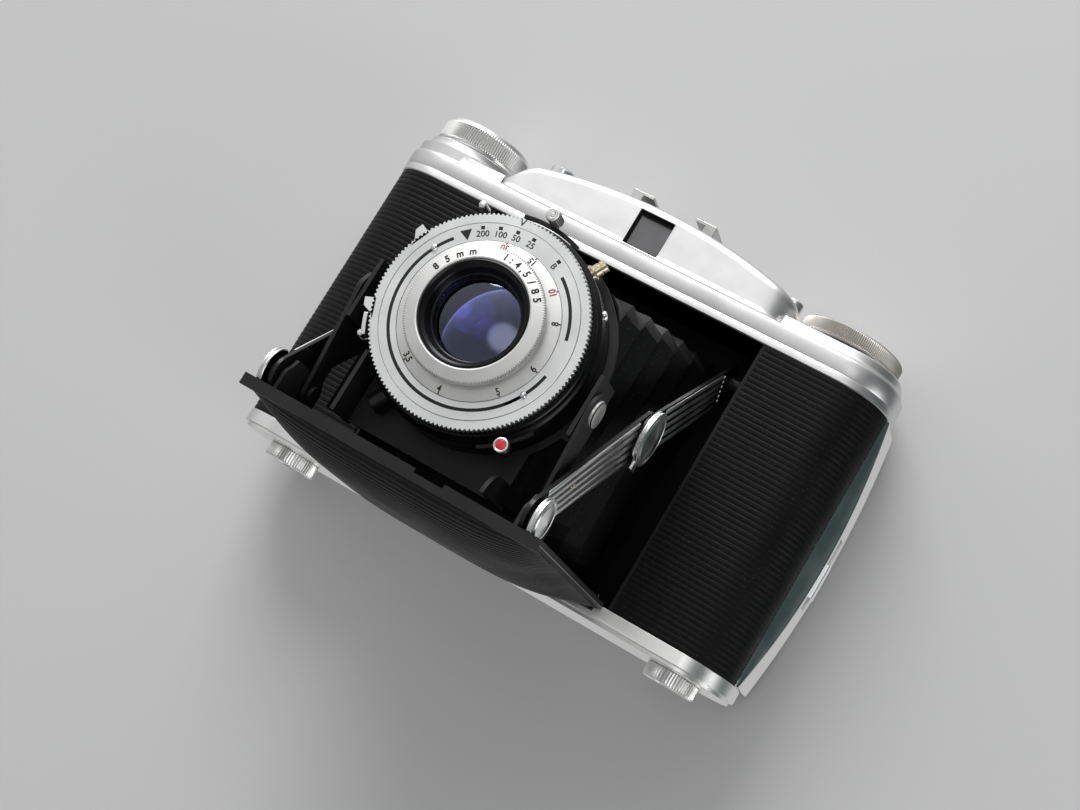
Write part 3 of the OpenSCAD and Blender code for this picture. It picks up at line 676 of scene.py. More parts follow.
def face_marks():
    arcs = [arc_mark(138, 349, 19.95, 20.7, 0.0), arc_mark(14, 56, 19.95, 20.7, 0.0),
            arc_mark(-41, -29, 19.95, 20.7, 0.0)]
    for a in (119.3, 108.4, 97.5, 86.5, 65.5):
        arcs.append(arc_mark(a - 1.2, a + 1.2, 21.1, 21.9, 0.0))
    tip = [on_lens(18.95, math.radians(129.6), 0.0), on_lens(21.5, math.radians(133.2), 0.0),
           on_lens(21.5, math.radians(126.0), 0.0)]
    lifted = [(x, y - 0.03, z) for x, y, z in tip]
    arcs.append((tip + lifted, [[0, 1, 2], [3, 4, 5], [0, 1, 4, 3], [1, 2, 5, 4], [2, 0, 3, 5]]))
    merged("scale_marks", arcs, "lens_standard", "satin_chrome", INK, (), 20)
    for text, a in (("200", 119.2), ("100", 107.6), ("50", 97.1), ("25", 86.5), ("B", 65.1)):
        lettering(text, 20.0, a, 1.45, 0.005, "lens_standard", INK)
    lettering("V", 23.9, 97.3, 1.7, 0.005, "speed_ring", INK)
    slope = 14.0
    for text, a, ink in (("3.5", -123.2, INK), ("4", -87.6, INK), ("5", -43.1, INK),
                         ("6", -13.0, INK), ("8", 24.0, INK), ("10", 47.8, RED_INK),
                         ("15", 77.4, INK), ("30", 101.7, RED_INK)):
        lettering(text, 17.3, a, 1.6, 0.335, "front_cell", ink, True, "metres_" + text,
                  tilt=slope, wide=0.85, bold=0.03)
    ticks = [arc_mark(a - 0.5, a + 0.5, 18.05, 18.4, 0.05, 0.08)
             for a in (-123, -86.8, -43, -12.8, 24, 48, 77, 101.5)]
    merged("distance_ticks", ticks, "front_cell", "satin_chrome", INK, (), 20)
    top = RIM - MOUTH
    for k, letter in enumerate("1:4,5/85"):
        a = 91.0 - (0, 6.5, 13.5, 19.5, 25.5, 34.5, 43.5, 52)[k]
        lettering(letter, 14.1, a, 1.75, top - 0.29, "front_cell", INK, False,
                  f"aperture_mark_{k}", tilt=13.5, wide=0.9, bold=0.045)
    for k, letter in enumerate("85mm"):
        lettering(letter, 14.1, 158 - 12 * k, 1.75, top - 0.29, "front_cell", INK, False,
                  f"focal_mark_{k}", tilt=13.5, wide=0.9, bold=0.045)
    pins = []
    for a in (151.6, -28.8):
        c = on_lens(20.35, math.radians(a), 0.0)
        bead = [(0.0, 0.8), (0.35, 0.74), (0.65, 0.52), (0.85, 0.1), (0.85, -0.3), (0.0, -0.3)]
        pins.append(turned(bead, 24, lambda r, t, out, c=c: (c[0] + r * math.cos(t),
                    c[1] - out, c[2] + r * math.sin(t))))
    merged("face_pins", pins, "lens_standard", "chrome", CHROME, (), 40)


def lens():
    speed_ring()
    face_plate()
    distance_ring()
    front_ring()
    barrel()
    lens_glass()
    iris()
    face_marks()


# ---- shapes shared by the body's parts ----
CORNER = 14


def rounded_outline(half_w, half_d, radius):
    """A round-cornered rectangle seen from above, symmetric front to back."""
    radius = max(radius, 0.05)
    points = []
    for cx, cy, start in ((1, -1, -90), (1, 1, 0), (-1, 1, 90), (-1, -1, 180)):
        for i in range(CORNER + 1):
            a = math.radians(start + 90 * i / CORNER)
            points.append((cx * (half_w - radius) + radius * math.cos(a),
                           cy * (half_d - radius) + radius * math.sin(a)))
    return points


def stack(levels):
    """Outlines (half width, half depth, corner radius, z) joined into a closed solid."""
    points = []
    for half_w, half_d, radius, z in levels:
        points += [(x, y, z) for x, y in rounded_outline(half_w, half_d, radius)]
    count = 4 * (CORNER + 1)
    faces = grid_faces(len(levels), count, wrap_cols=True)
    start = (len(levels) - 1) * count
    for base in (0, start):
        faces += mirror_cap(base, count)
    return points, faces


def mirror_cap(base, count):
    """Quads from each point of the front half to its twin on the back half."""
    half = count // 2
    quarter = count // 4
    front = [base + (half + quarter + k) % count for k in range(half)]
    back = [base + (half + quarter - 1 - k) % count for k in range(half)]
    return [[front[k], front[k + 1], back[k + 1], back[k]] for k in range(half - 1)]


def solid_mesh(name, shape):
    points, faces = shape
    mesh = bpy.data.meshes.new(name)
    mesh.from_pydata([Vector(p) * MM for p in points], [], faces)
    tidy(mesh)
    obj = bpy.data.objects.new(name, mesh)
    bpy.context.scene.collection.objects.link(obj)
    return obj


def carve(obj, shapes, operation="DIFFERENCE"):
    """Joins or cuts closed shapes, one by one."""
    for k, shape in enumerate(shapes):
        tool = solid_mesh(f"{obj.name}_tool_{k}", shape)
        cut = obj.modifiers.new("cut", "BOOLEAN")
        cut.object = tool
        cut.operation = operation
        cut.solver = "EXACT"
        depsgraph = bpy.context.evaluated_depsgraph_get()
        mesh = bpy.data.meshes.new_from_object(obj.evaluated_get(depsgraph))
        obj.modifiers.clear()
        obj.data = mesh
        bpy.data.objects.remove(tool)
    return obj


# ---- ribbed covering ----
RIB = 1.425
RIB_STEPS = (0.0, 0.1, 0.25, 0.5, 0.75, 0.9)


def rib_rows(low, high, depth=0.15):
    """Heights of the ribs' rows and how far each lies below the crests."""
    count = round((high - low) / RIB)
    pitch = (high - low) / count
    rows = []
    for i in range(count):
        for t in RIB_STEPS:
            rows.append((low + (i + t) * pitch, -depth * (1 - math.sin(math.pi * t) ** 0.55)))
    return rows + [(high, -depth)]


def front_skin(side):
    """The covering of one end of the front, wrapped round the corner."""
    radius, thick = HALF_W - 60.0, 0.55
    path = [((41.0, FRONT), (0, -1)), ((50.0, FRONT), (0, -1))]
    for i in range(17):
        a = math.radians(-90 + 85.9 * i / 16)
        path.append(((60 + radius * math.cos(a), FRONT + radius + radius * math.sin(a)),
                     (math.cos(a), math.sin(a))))
    points = []
    rows = rib_rows(BASE + 0.1, TOP - 0.1)
    for z, sink in rows:
        outer = [(x + nx * sink, y + ny * sink, z) for (x, y), (nx, ny) in path]
        inner = [(x - nx * thick, y - ny * thick, z) for (x, y), (nx, ny) in reversed(path)]
        points += [(side * x, y, z) for x, y, z in outer + inner]
    cols = 2 * len(path)
    last = (len(rows) - 1) * cols
    faces = grid_faces(len(rows), cols, wrap_cols=True)
    faces += fold_cap(0, cols) + fold_cap(last, cols)
    name = "skin_right" if side > 0 else "skin_left"
    piece(name + "_ribbed", points, faces, "body", "skin", LEATHER, (name,), 60)


def back_skin():
    rows = rib_rows(BASE + 1.5, TOP - 1.5)
    points = []
    for z, sink in rows:
        points += [(-58, BACK + sink, z), (58, BACK + sink, z), (58, BACK - 0.6, z),
                   (-58, BACK - 0.6, z)]
    obj = solid_mesh("door_skin_ribbed", (points, tube_faces(len(rows), 4)))
    slot_box = box_shape((-20.3, BACK - 3, AXIS - 5.3), (3.9, BACK + 3, AXIS + 5.3))
    carve(obj, [slot_box])
    dress(obj, "back_door", LEATHER, ("door_skin",), 60)


def bed_depth(x, out, half, length):
    """How far the bed's outside hangs below its edge."""
    flat = 1 - (abs(x) / half) ** 4
    return 1.1 + 6.8 * flat * (1 - abs(2 * out / length - 1) ** 4.5)


def bed_covering():
    half, length = BED_EDGE, FRONT - BED_TIP
    start, stop, wide = 2.4, length - 0.8, BED_EDGE - 0.6
    rows = rib_rows(start + 1.6, stop - 1.6, 0.24)
    rows = [(start, -0.1), (start + 1.2, -0.1)] + rows + [(stop - 1.2, -0.1), (stop, -0.1)]
    cols = 49
    top, under = [], []
    for out, sink in rows:
        for j in range(cols):
            x = wide * (2 * j / (cols - 1) - 1)
            z = BASE - bed_depth(x, out, half, length)
            fade = min(1.0, (wide - abs(x)) / 1.5)
            under.append((x, FRONT - out, z - 0.12 - sink * fade))
            top.append((x, FRONT - out, z + 0.55))
    count = len(rows) * cols
    faces = grid_faces(len(rows), cols)
    faces += [[count + i for i in f] for f in faces]
    edge = list(range(cols)) + [r * cols + cols - 1 for r in range(1, len(rows))]
    edge += [count - 2 - j for j in range(cols - 1)]
    edge += [r * cols for r in range(len(rows) - 2, 0, -1)]
    faces += bridge(edge, count)
    piece("bed_skin_ribbed", under + top, faces, "bed", "skin", BED_LEATHER, ("bed_skin",), 60)


# ---- top cover ----
DECK = TOP + 7.0
CREST_TOP = 100.7
CREST_R = 155.0
CREST_MID = -1.0


def crest_height(x, level):
    """Levels below 50 rise from the deck, the others hang below the arched top."""
    if level < 0:
        return DECK + level
    arch = CREST_TOP - CREST_R + math.sqrt(CREST_R ** 2 - (x - CREST_MID) ** 2)
    share = min(1.0, max(0.0, (x + 47.5) / 11.0))
    tall = max(0.1, (arch - DECK) * share * share * (3 - 2 * share))
    if level < 50:
        return DECK + min(level, tall * (0.05 + 0.2 * level))
    hang = 100 - level
    return DECK + tall - min(hang, tall * 0.15 * hang)


def crest_shape():
    half_w, half_d = 44.5, 16.2
    levels = [(-0.9, -1.0), (-0.9, 0.0), (-0.55, 0.1), (-0.25, 0.35), (-0.08, 0.8), (0.0, 1.5),
              (0.0, 97.6), (0.1, 98.5), (0.45, 99.2), (1.05, 99.7), (1.8, 99.93), (2.6, 100.0)]
    rings = [(half_w - inset, half_d - inset, 7.5 - inset, z) for inset, z in levels]
    return densify(rings, 40)


def densify(rings, spans):
    """A stack whose long sides carry enough points to follow an arch."""
    arc = 10
    points = []
    for half_w, half_d, radius, z in rings:
        for x, y in long_outline(half_w, half_d, radius, arc, spans):
            x += CREST_MID - 1.5
            points.append((x, y, crest_height(x, z)))
    count = 4 * (arc + 1) + 2 * (spans - 1)
    faces = grid_faces(len(rings), count, wrap_cols=True)
    return points, faces + fold_cap(0, count) + fold_cap((len(rings) - 1) * count, count)


def long_outline(half_w, half_d, radius, arc, spans):
    """Front side from left to right, then the back side from right to left."""
    front = []
    for i in range(arc + 1):
        a = math.radians(180 + 90 * i / arc)
        front.append((-half_w + radius + radius * math.cos(a),
                      -half_d + radius + radius * math.sin(a)))
    for i in range(1, spans):
        front.append((-half_w + radius + 2 * (half_w - radius) * i / spans, -half_d))
    for i in range(arc + 1):
        a = math.radians(270 + 90 * i / arc)
        front.append((half_w - radius + radius * math.cos(a),
                      -half_d + radius + radius * math.sin(a)))
    return front + [(x, -y) for x, y in reversed(front)]


def rim_levels(half_w, half_d, radius, rows):
    return [(half_w - i, half_d - i, radius - i, z) for i, z in rows]


def top_cover():
    band = [(0.3, TOP), (0.0, TOP + 0.25), (0.0, TOP + 1.9), (0.1, TOP + 2.15), (0.0, TOP + 2.4),
            (0.0, DECK - 1.1), (0.12, DECK - 0.6), (0.45, DECK - 0.2), (0.95, DECK)]
    obj = solid_mesh("top_cover_shell", stack(rim_levels(74.3, 17.3, 14.3, band)))
    step = [(1.2, DECK - 1.0), (1.2, DECK + 0.05), (1.45, DECK + 0.3), (1.7, DECK + 0.8),
            (1.7, DECK + 1.9), (1.85, DECK + 2.4), (2.3, DECK + 2.75), (2.9, DECK + 2.85)]
    platform = stack(rim_levels(74.3, 17.3, 14.3, step))
    middle = box_shape((-43.6, -30, DECK + 0.01), (40.9, 30, DECK + 9))
    ends = solid_mesh("ends", platform)
    carve(ends, [middle])
    shape = ([v.co / MM for v in ends.data.vertices],
             [list(p.vertices) for p in ends.data.polygons])
    bpy.data.objects.remove(ends)
    boss = [(0.0, DECK - 0.5), (15.6, DECK - 0.5), (15.6, DECK + 2.86), (14.9, DECK + 3.05),
            (14.3, DECK + 3.6), (14.05, DECK + 4.4), (13.95, DECK + 5.3), (13.6, DECK + 5.6),
            (0.0, DECK + 5.6)]
    carve(obj, [shape, crest_shape(), turned(boss, 96, about_z(*WIND_AT))], "UNION")
    window = box_shape((-5.9, -30, DECK + 0.5), (4.3, -13.2, DECK + 10.7))
    eyepiece = box_shape((-4.9, 12.5, DECK + 2), (3.3, 30, DECK + 9))
    button = turned([(0, DECK - 0.5), (3.65, DECK - 0.5), (3.65, 130), (0, 130)], 48,
                    about_z(*RELEASE_AT))
    bed_release = turned([(0, DECK - 0.5), (2.7, DECK - 0.5), (2.7, 130), (0, 130)], 48,
                         about_z(*BED_BUTTON_AT))
    carve(obj, [window, eyepiece, button, bed_release])
    tidy(obj.data)
    dress(obj, "body", COVER, ("top_cover",), 32)


def finder():
    low, high = (-5.85, FRONT + 1.9, DECK + 0.55), (4.25, FRONT + 2.4, DECK + 10.65)
    pane = piece("finder_glass", *box_shape(low, high), "body", "glass", PANE, ())
    bevelled(pane, 0.1)
    rims = []
    y0, y1 = FRONT + 1.55, FRONT + 2.3
    for a, b in (((-5.85, y0, DECK + 0.55), (-5.15, y1, DECK + 10.65)),
                 ((3.95, y0, DECK + 0.55), (4.25, y1, DECK + 10.65)),
                 ((-5.15, y0, DECK + 9.35), (3.95, y1, DECK + 10.65)),
                 ((-5.15, y0, DECK + 0.55), (3.95, y1, DECK + 0.95))):
        rims.append(box_shape(a, b))
    merged("finder_mask", rims, "body", "black_paint", MATT, (), 30)
    from_cad("finder_window", 0.05, MATT, name="finder_tube")
    from_cad("finder_eyepiece", 0.1, PANE)


def wind_knob():
    z = TOP + 13.0
    shape, steps = toothed(110, 0.42, (4, 5), 1.0)
    profile = [(0.01, z + 0.02), (11.6, z + 0.02), (12.1, z + 0.15), (12.35, z + 0.8),
               (13.0, z + 1.15), (13.0, z + 5.4), (12.55, z + 5.75), (12.2, z + 6.6),
               (11.7, z + 7.0), (9.2, z + 7.0), (8.9, z + 6.8), (8.6, z + 7.0), (0.01, z + 6.9)]
    spun("wind_knob_turned", profile, steps, about_z(*WIND_AT), "wind_knob", slot_of("wind_knob"),
         SATIN, (), 25, shape=shape)
    spindle = [(0.0, TOP - 3), (2.5, TOP - 3), (2.5, z + 0.5), (0.0, z + 0.5)]
    spun("wind_spindle", spindle, 48, about_z(*WIND_AT), "wind_knob", slot_of("wind_knob"),
         CHROME, ("wind_knob",))


def dial():
    z = TOP + 10.5
    shape, steps = toothed(160, 0.34, (4, 5), 1.0)
    profile = [(0.01, z), (13.2, z), (13.6, z + 0.2), (13.7, z + 0.5), (14.2, z + 0.8),
               (14.2, z + 3.6), (13.9, z + 4.0), (13.5, z + 4.4), (13.1, z + 4.5),
               (11.4, z + 4.5), (11.1, z + 4.3), (11.0, z + 3.75), (0.01, z + 3.75)]
    spun("dial_ring", profile, steps, about_z(*DIAL_AT), "reminder_dial",
         slot_of("reminder_dial"), DIAL, (), 25, shape=shape)
    stem = [(0.0, z - 5), (2.0, z - 5), (2.0, z + 1), (0.0, z + 1)]
    spun("dial_stem", stem, 32, about_z(*DIAL_AT), "reminder_dial", slot_of("reminder_dial"),
         CHROME, ("reminder_dial",))
    cap = [(0.0, z + 3.7), (6.0, z + 3.7), (6.0, z + 4.1), (5.7, z + 4.3), (0.0, z + 4.3)]
    spun("dial_cap", cap, 64, about_z(*DIAL_AT), "reminder_dial", slot_of("dial_plate"), SATIN,
         ("dial_plate",))
    ticks = []
    for k in range(24):
        a = TAU * k / 24
        c, s = math.cos(a), math.sin(a)
        corners = [(7.2, -0.14), (9.9, -0.14), (9.9, 0.14), (7.2, 0.14)]
        low = [(DIAL_AT[0] + r * c - w * s, r * s + w * c, z + 3.72) for r, w in corners]
        ticks.append((low + [(x, y, z + 3.79) for x, y, _ in low], closed_prism(4)))
    merged("dial_ticks", ticks, "reminder_dial", slot_of("reminder_dial"), INK, (), 20)


def buttons():
    z = TOP + 12
    profile = [(0.0, TOP + 6.5), (3.4, TOP + 6.5), (3.6, z + 0.2), (3.6, z + 9.4), (3.3, z + 9.9),
               (2.7, z + 10.2), (1.3, z + 10.15), (1.15, z + 9.9), (1.1, z + 6.5), (0.0, z + 6.5)]
    spun("release_button_turned", profile, 64, about_z(*RELEASE_AT), "release_button",
         slot_of("release_button"), CHROME, ("release_button",))
    top = TOP + 18
    cap = [(0.0, DECK + 2.2), (2.6, DECK + 2.2), (2.6, top - 0.5), (2.35, top - 0.15),
           (1.9, top), (0.0, top + 0.05)]
    spun("bed_button_turned", cap, 48, about_z(*BED_BUTTON_AT), "bed_button",
         slot_of("bed_button"), SATIN, ("bed_button",))
    for side, name in ((1, "spool_knob_right"), (-1, "spool_knob_left")):
        shape, steps = toothed(60, 0.3, (1, 2))
        rim = [(7.0, -0.1), (7.25, -0.35), (7.25, -3.3), (6.95, -3.65), (5.7, -3.7),
               (5.45, -3.5), (5.4, -2.75), (0.01, -2.7), (0.01, -0.1)]
        spun(name + "_turned", rim, steps, about_z(side * SPOOL_X, SPOOL_Y), name, slot_of(name),
             SATIN, shape=shape)
        bar = box_shape((side * SPOOL_X - 4.6, -1.3, -3.5), (side * SPOOL_X + 4.6, 0.3, -2.6))
        pin = turned([(0, -2.7), (2.5, -2.7), (2.5, 9.8), (0, 9.8)], 32,
                     about_z(side * SPOOL_X, SPOOL_Y))
        merged(name + "_key", [bar, pin], name, slot_of(name), CHROME, (name,), 30)


# ---- bellows ----
def bellows():
    """Alternating folds: ridge rings with cut corners, valley rings with sharp ones."""
    front_y, rear_y = -68.85, 3.85
    folds = 6
    rings = 2 * folds + 1
    rows = []
    for k in range(rings):
        t = k / (rings - 1)
        half_w = 22.4 + (30.4 - 22.4) * t
        half_h = 22.4 + (34.8 - 22.4) * t ** 0.9
        ridge = k % 2 == 0
        y = front_y + (rear_y - front_y) * t
        rows.append((y, half_w, half_h, ridge))
    dense = []
    for k, (y, half_w, half_h, ridge) in enumerate(rows):
        dense.append(bellows_ring(y, half_w, half_h, ridge))
        if k < rings - 1:
            following = bellows_ring(rows[k + 1][0], *rows[k + 1][1:])
            for share in (0.12, 0.5, 0.88):
                dense.append([tuple(a + (b - a) * share for a, b in zip(p, q))
                              for p, q in zip(dense[4 * k], following)])
    per = len(dense[0])
    points = [p for ring_points in dense for p in ring_points]
    inner = [toward_axis(p, 0.45) for p in points]
    count = len(dense) * per
    faces = grid_faces(len(dense), per, wrap_cols=True)
    faces += [[count + i for i in f] for f in faces]
    for base in (0, count - per):
        faces += bridge(list(range(base, base + per)), count)
    rng = random.Random(7)
    jitter = [tuple(c + rng.uniform(-0.12, 0.12) * w for c, w in zip(p, (1, 0.6, 1)))
              for p in points]
    obj = piece("bellows_folded", jitter + inner, faces, "body", "bellows_cloth", CLOTH,
                ("bellows",), 24)
    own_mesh(obj)


def toward_axis(p, thick):
    x, y, z = p
    r = math.hypot(x, z - AXIS)
    k = (r - thick) / r
    return (x * k, y, AXIS + (z - AXIS) * k)


def bellows_ring(y, half_w, half_h, ridge):
    """The 32 points round one fold; cut is the corner's chamfer."""
    if ridge:
        cut, shrink = 4.6, 0.0
    else:
        cut, shrink = 0.4, 2.3
    w, h = half_w - shrink, half_h - shrink
    corners = []
    for sx, sz in ((1, -1), (1, 1), (-1, 1), (-1, -1)):
        first, second = (w - cut, h), (w, h - cut)
        if sx * sz > 0:
            first, second = second, first
        pair = []
        for t in (0.0, 0.5, 1.0):
            bulge = 0.25 * (1 - abs(2 * t - 1)) if ridge else 0.0
            x = first[0] + (second[0] - first[0]) * t + bulge
            z = first[1] + (second[1] - first[1]) * t + bulge
            pair.append((sx * x, sz * z))
        corners.append(pair)
    loop = []
    for k in range(4):
        loop += corners[k]
        a, b = corners[k][-1], corners[(k + 1) % 4][0]
        for i in range(1, 6):
            t = i / 6
            bow = 0.5 * math.sin(math.pi * t)
            x, z = a[0] + (b[0] - a[0]) * t, a[1] + (b[1] - a[1]) * t
            away = (math.copysign(1, x), 0) if abs(a[0] - b[0]) < 0.5 else (0, math.copysign(1, z))
            loop.append((x - away[0] * bow, z - away[1] * bow))
    return [(x, y, AXIS + z) for x, z in loop]


# ---- bed, struts and arms ----
STRUT_X = 32.6
FOOT = Vector((-85.0, 9.0))
KNEE = Vector((-45.1, 41.5))
HEEL = Vector((-5.1, 70.25))
ARM_TOP = Vector((-76.7, 35.5))


def strut_frame(p, q):
    along = (q - p).normalized()
    return along, Vector((-along.y, along.x))


def strut_ribs(p, q, start, stop, half0, half1, x0, rise, side, count=5, width=0.62):
    """Raised lines along a strut: flat-topped bars with rounded edges."""
    along, across = strut_frame(p, q)
    length = (q - p).length
    section = [(-width, -0.05), (-width, rise * 0.6), (-width * 0.7, rise), (width * 0.7, rise),
               (width, rise * 0.6), (width, -0.05)]
    shapes = []
    for k in range(count):
        share = 2 * k / (count - 1) - 1
        points = []
        for s in (start, start + 0.3, stop - 0.3, stop):
            t = s / length
            centre = p + along * s + across * (share * (half0 + (half1 - half0) * t))
            low = 0.5 if s in (start, stop) else 1.0
            for off, up in section:
                c = centre + across * off
                points.append((side * (x0 + max(up * low, -0.05)), c.x, c.y))
        shapes.append((points, tube_faces(4, len(section))))
    return shapes


def domed_disc(p, x0, radius, side):
    """A rivet head with a stepped edge and fine turned rings."""
    profile = [(0.0, x0 - 0.4), (radius - 0.15, x0 - 0.4), (radius, x0 - 0.25), (radius, x0 + 0.1),
               (radius - 0.3, x0 + 0.25), (radius - 0.3, x0 + 0.4), (radius, x0 + 0.55),
               (radius, x0 + 0.85), (radius - 0.25, x0 + 1.0), (radius - 0.6, x0 + 0.95),
               (radius - 0.8, x0 + 0.75), (radius - 1.0, x0 + 0.8)]
    steps = 12
    for i in range(1, steps):
        r = (radius - 1.05) * (1 - i / steps)
        crown = 0.85 + 1.0 * (1 - r / radius)
        profile.append((r, x0 + crown + (0.06 if i % 2 else -0.04)))
    profile.append((0.0, x0 + 1.8))
    mirrored = [(r, side * x) for r, x in profile]
    return turned(mirrored, 64, about_x(p.x, p.y))


def struts():
    for side, tag in ((1, "right"), (-1, "left")):
        front, rear = "front_strut_" + tag, "rear_strut_" + tag
        x1, x2 = STRUT_X + 1.0, STRUT_X + 2.15
        # The struts are chrome, but their bodies are black enamel under the chrome ribs: painted
        # shade, so that their shaded inner sides look dark.
        from_cad(front, 0.18, BLACK)
        ribs = strut_ribs(FOOT, KNEE, 4.0, 46.5, 4.0, 5.0, x1, 0.4, side)
        merged(front + "_ribs", ribs, front, slot_of(front), SATIN, (), 40)
        from_cad(rear, 0.18, BLACK)
        ribs = strut_ribs(HEEL, KNEE, 8.0, 43.0, 4.1, 5.0, x2, 0.4, side)
        merged(rear + "_ribs", ribs, rear, slot_of(rear), SATIN, (), 40)
        along, across = strut_frame(HEEL, KNEE)
        dots = []
        for k in range(6):
            c = HEEL + along * (6.2 - 0.25 * k) + across * (1.45 * k - 3.6)
            dots.append(bead(c, x2, 0.6, side))
        merged(rear + "_beads", dots, rear, slot_of(rear), CHROME, (), 60)
        merged(rear + "_knee", [domed_disc(KNEE, x2 + 0.35, 6.9, side)], rear, slot_of(rear),
               DISC, (), 35)
        tab = box_shape(*sorted_box((side * (x2 + 0.1), KNEE.x - 1.6, KNEE.y - 8.6),
                                    (side * (x2 + 1.0), KNEE.x + 1.4, KNEE.y - 5.0)))
        bevelled(merged(rear + "_tab", [tab], rear, slot_of(rear), SATIN, (), 35), 0.3)
        catch = FOOT + strut_frame(FOOT, KNEE)[0] * 17.0
        merged(front + "_catch", [bead(catch, x1 + 0.05, 1.3, side, 0.25)], front, slot_of(front),
               BRASS, (), 60)
        ear = from_cad("ear_" + tag, 0.15, BRACKET)
        two_tone(ear, CHROME, lambda c: abs(c.x) > (STRUT_X + 2.0) * MM)
        merged("foot_disc_" + tag, [domed_disc(FOOT, STRUT_X + 2.65, 5.3, side)], "bed",
               slot_of(front), DISC, (), 35)
        from_cad("arm_" + tag, 0.15, BRACKET)
        rivet = [(0.0, side * 31.0), (3.3, side * 31.0), (3.3, side * 31.5), (3.0, side * 31.9),
                 (2.0, side * 32.05), (0.0, side * 32.1)]
        spun("arm_rivet_" + tag, rivet, 48, about_x(ARM_TOP.x, ARM_TOP.y), "lens_standard",
             "chrome", RIVET, (), 40)


def bead(c, x0, radius, side, squash=0.8):
    rows = [(0.0, side * (x0 - 0.1)), (radius, side * (x0 - 0.1))]
    for i in range(1, 5):
        a = math.radians(90 * i / 5)
        rows.append((radius * math.cos(a), side * (x0 + radius * squash * math.sin(a))))
    rows.append((0.0, side * (x0 + radius * squash)))
    return turned(rows, 20, about_x(c.x, c.y))


def two_tone(obj, material, chosen):
    """Gives the faces picked out by their centre a second material."""
    obj.data.materials.append(material)
    for face in obj.data.polygons:
        if chosen(face.center):
            face.material_index = 1


def bed():
    bed_covering()
    pan = from_cad("bed", 0.3, LIP, segments=3)
    inside = (BED_EDGE - 1.0) * MM
    two_tone(pan, MATT, lambda c: abs(c.x) < inside and c.z < (BASE - 0.3) * MM
             and c.y > (BED_TIP + 4) * MM)
    strip = box_shape((BED_EDGE - 0.25, BED_TIP + 1.0, BASE - 0.55),
                      (BED_EDGE + 0.06, FRONT - 1.2, BASE - 0.25))
    bevelled(merged("bed_edge_line", [strip], "bed", "black_paint", EDGE, (), 30), 0.1)
    from_cad("bed_hinge_pin", 0.1, CHROME)
    from_cad("strut_anchors", 0.1, BLACK)


# ---- shutter and its levers ----
def about_front(angle, radius):
    """Turned parts whose axis points ahead, centred on a place round the lens."""
    cx, _, cz = on_lens(radius, math.radians(angle), 0)
    return lambda r, a, out: (cx + r * math.cos(a), RIM - out, cz + r * math.sin(a))


def about_radial(angle, out):
    """Turned parts whose axis points away from the lens axis."""
    t = math.radians(angle)
    return lambda r, a, along: (along * math.cos(t) - r * math.cos(a) * math.sin(t),
                                RIM - out + r * math.sin(a),
                                AXIS + along * math.sin(t) + r * math.cos(a) * math.cos(t))


def shutter():
    profile = [(11.6, -14.35), (11.6, -3.2), (13.1, -3.2), (13.1, -1.45), (22.5, -1.45),
               (22.5, -3.1), (25.3, -3.1), (25.55, -3.4), (25.6, -4.9), (26.1, -5.3),
               (26.3, -5.6), (26.3, -9.4), (26.1, -9.6), (26.1, -9.9), (26.3, -10.1),
               (26.3, -14.35)]
    spun("shutter_drum", profile, 192, on_lens, "lens_standard", "black_paint", GLOSS_BLACK,
         ("shutter_housing",))
    board = from_cad("lens_board", 0.25, BRACKET)
    two_tone(board, MATT, lambda c: c.z < (AXIS - 14) * MM and abs(c.x) < 19 * MM)
    from_cad("rear_cell", 0.1, MATT)
    back = span("lens_board")[1].y
    apron = box_shape((-27.5, back - 2.0, BASE + 4.5), (27.5, back - 0.9, AXIS - 12))
    bevelled(merged("board_apron", [apron], "lens_standard", slot_of("lens_board"), MATT, (), 30),
             0.4)
    screw_place = about_radial(36, -9.0)
    head = [(0.0, 26.0), (1.25, 26.0), (1.25, 26.5), (1.0, 26.85), (0.0, 26.95)]
    spun("drum_screw", head, 32, screw_place, "lens_standard", "chrome", CHROME, (), 40)


def sector(angle, spread, out, inner=26.35, outer=27.3, thick=0.9):
    """A piece of a flat ring that rides round the shutter."""
    return arc_mark(angle - spread, angle + spread, inner, outer, out, thick, 12)


def lever_arm(angle, out, reach, width=1.8, thick=0.9):
    t = math.radians(angle)
    c, s = math.cos(t), math.sin(t)
    points = []
    for o in (out, out + thick):
        for r, w in ((26.8, -width / 2), (reach, -width / 2), (reach, width / 2),
                     (26.8, width / 2)):
            points.append((r * c - w * s, RIM - o, AXIS + r * s + w * c))
    return points, closed_prism(4)


LEVERS = {  # angle and radius of the handle, half the ring's arc, place behind the rim
    "cocking_lever": (85.5, 28.4, 16, -5.0), "timer_lever": (-48, 28.8, 14, -6.4),
    "aperture_lever": (122, 28.6, 10, -7.8), "release_lever": (209, 28.6, 10, -9.2)}


def handle(node):
    return about_front(*LEVERS[node][:2])


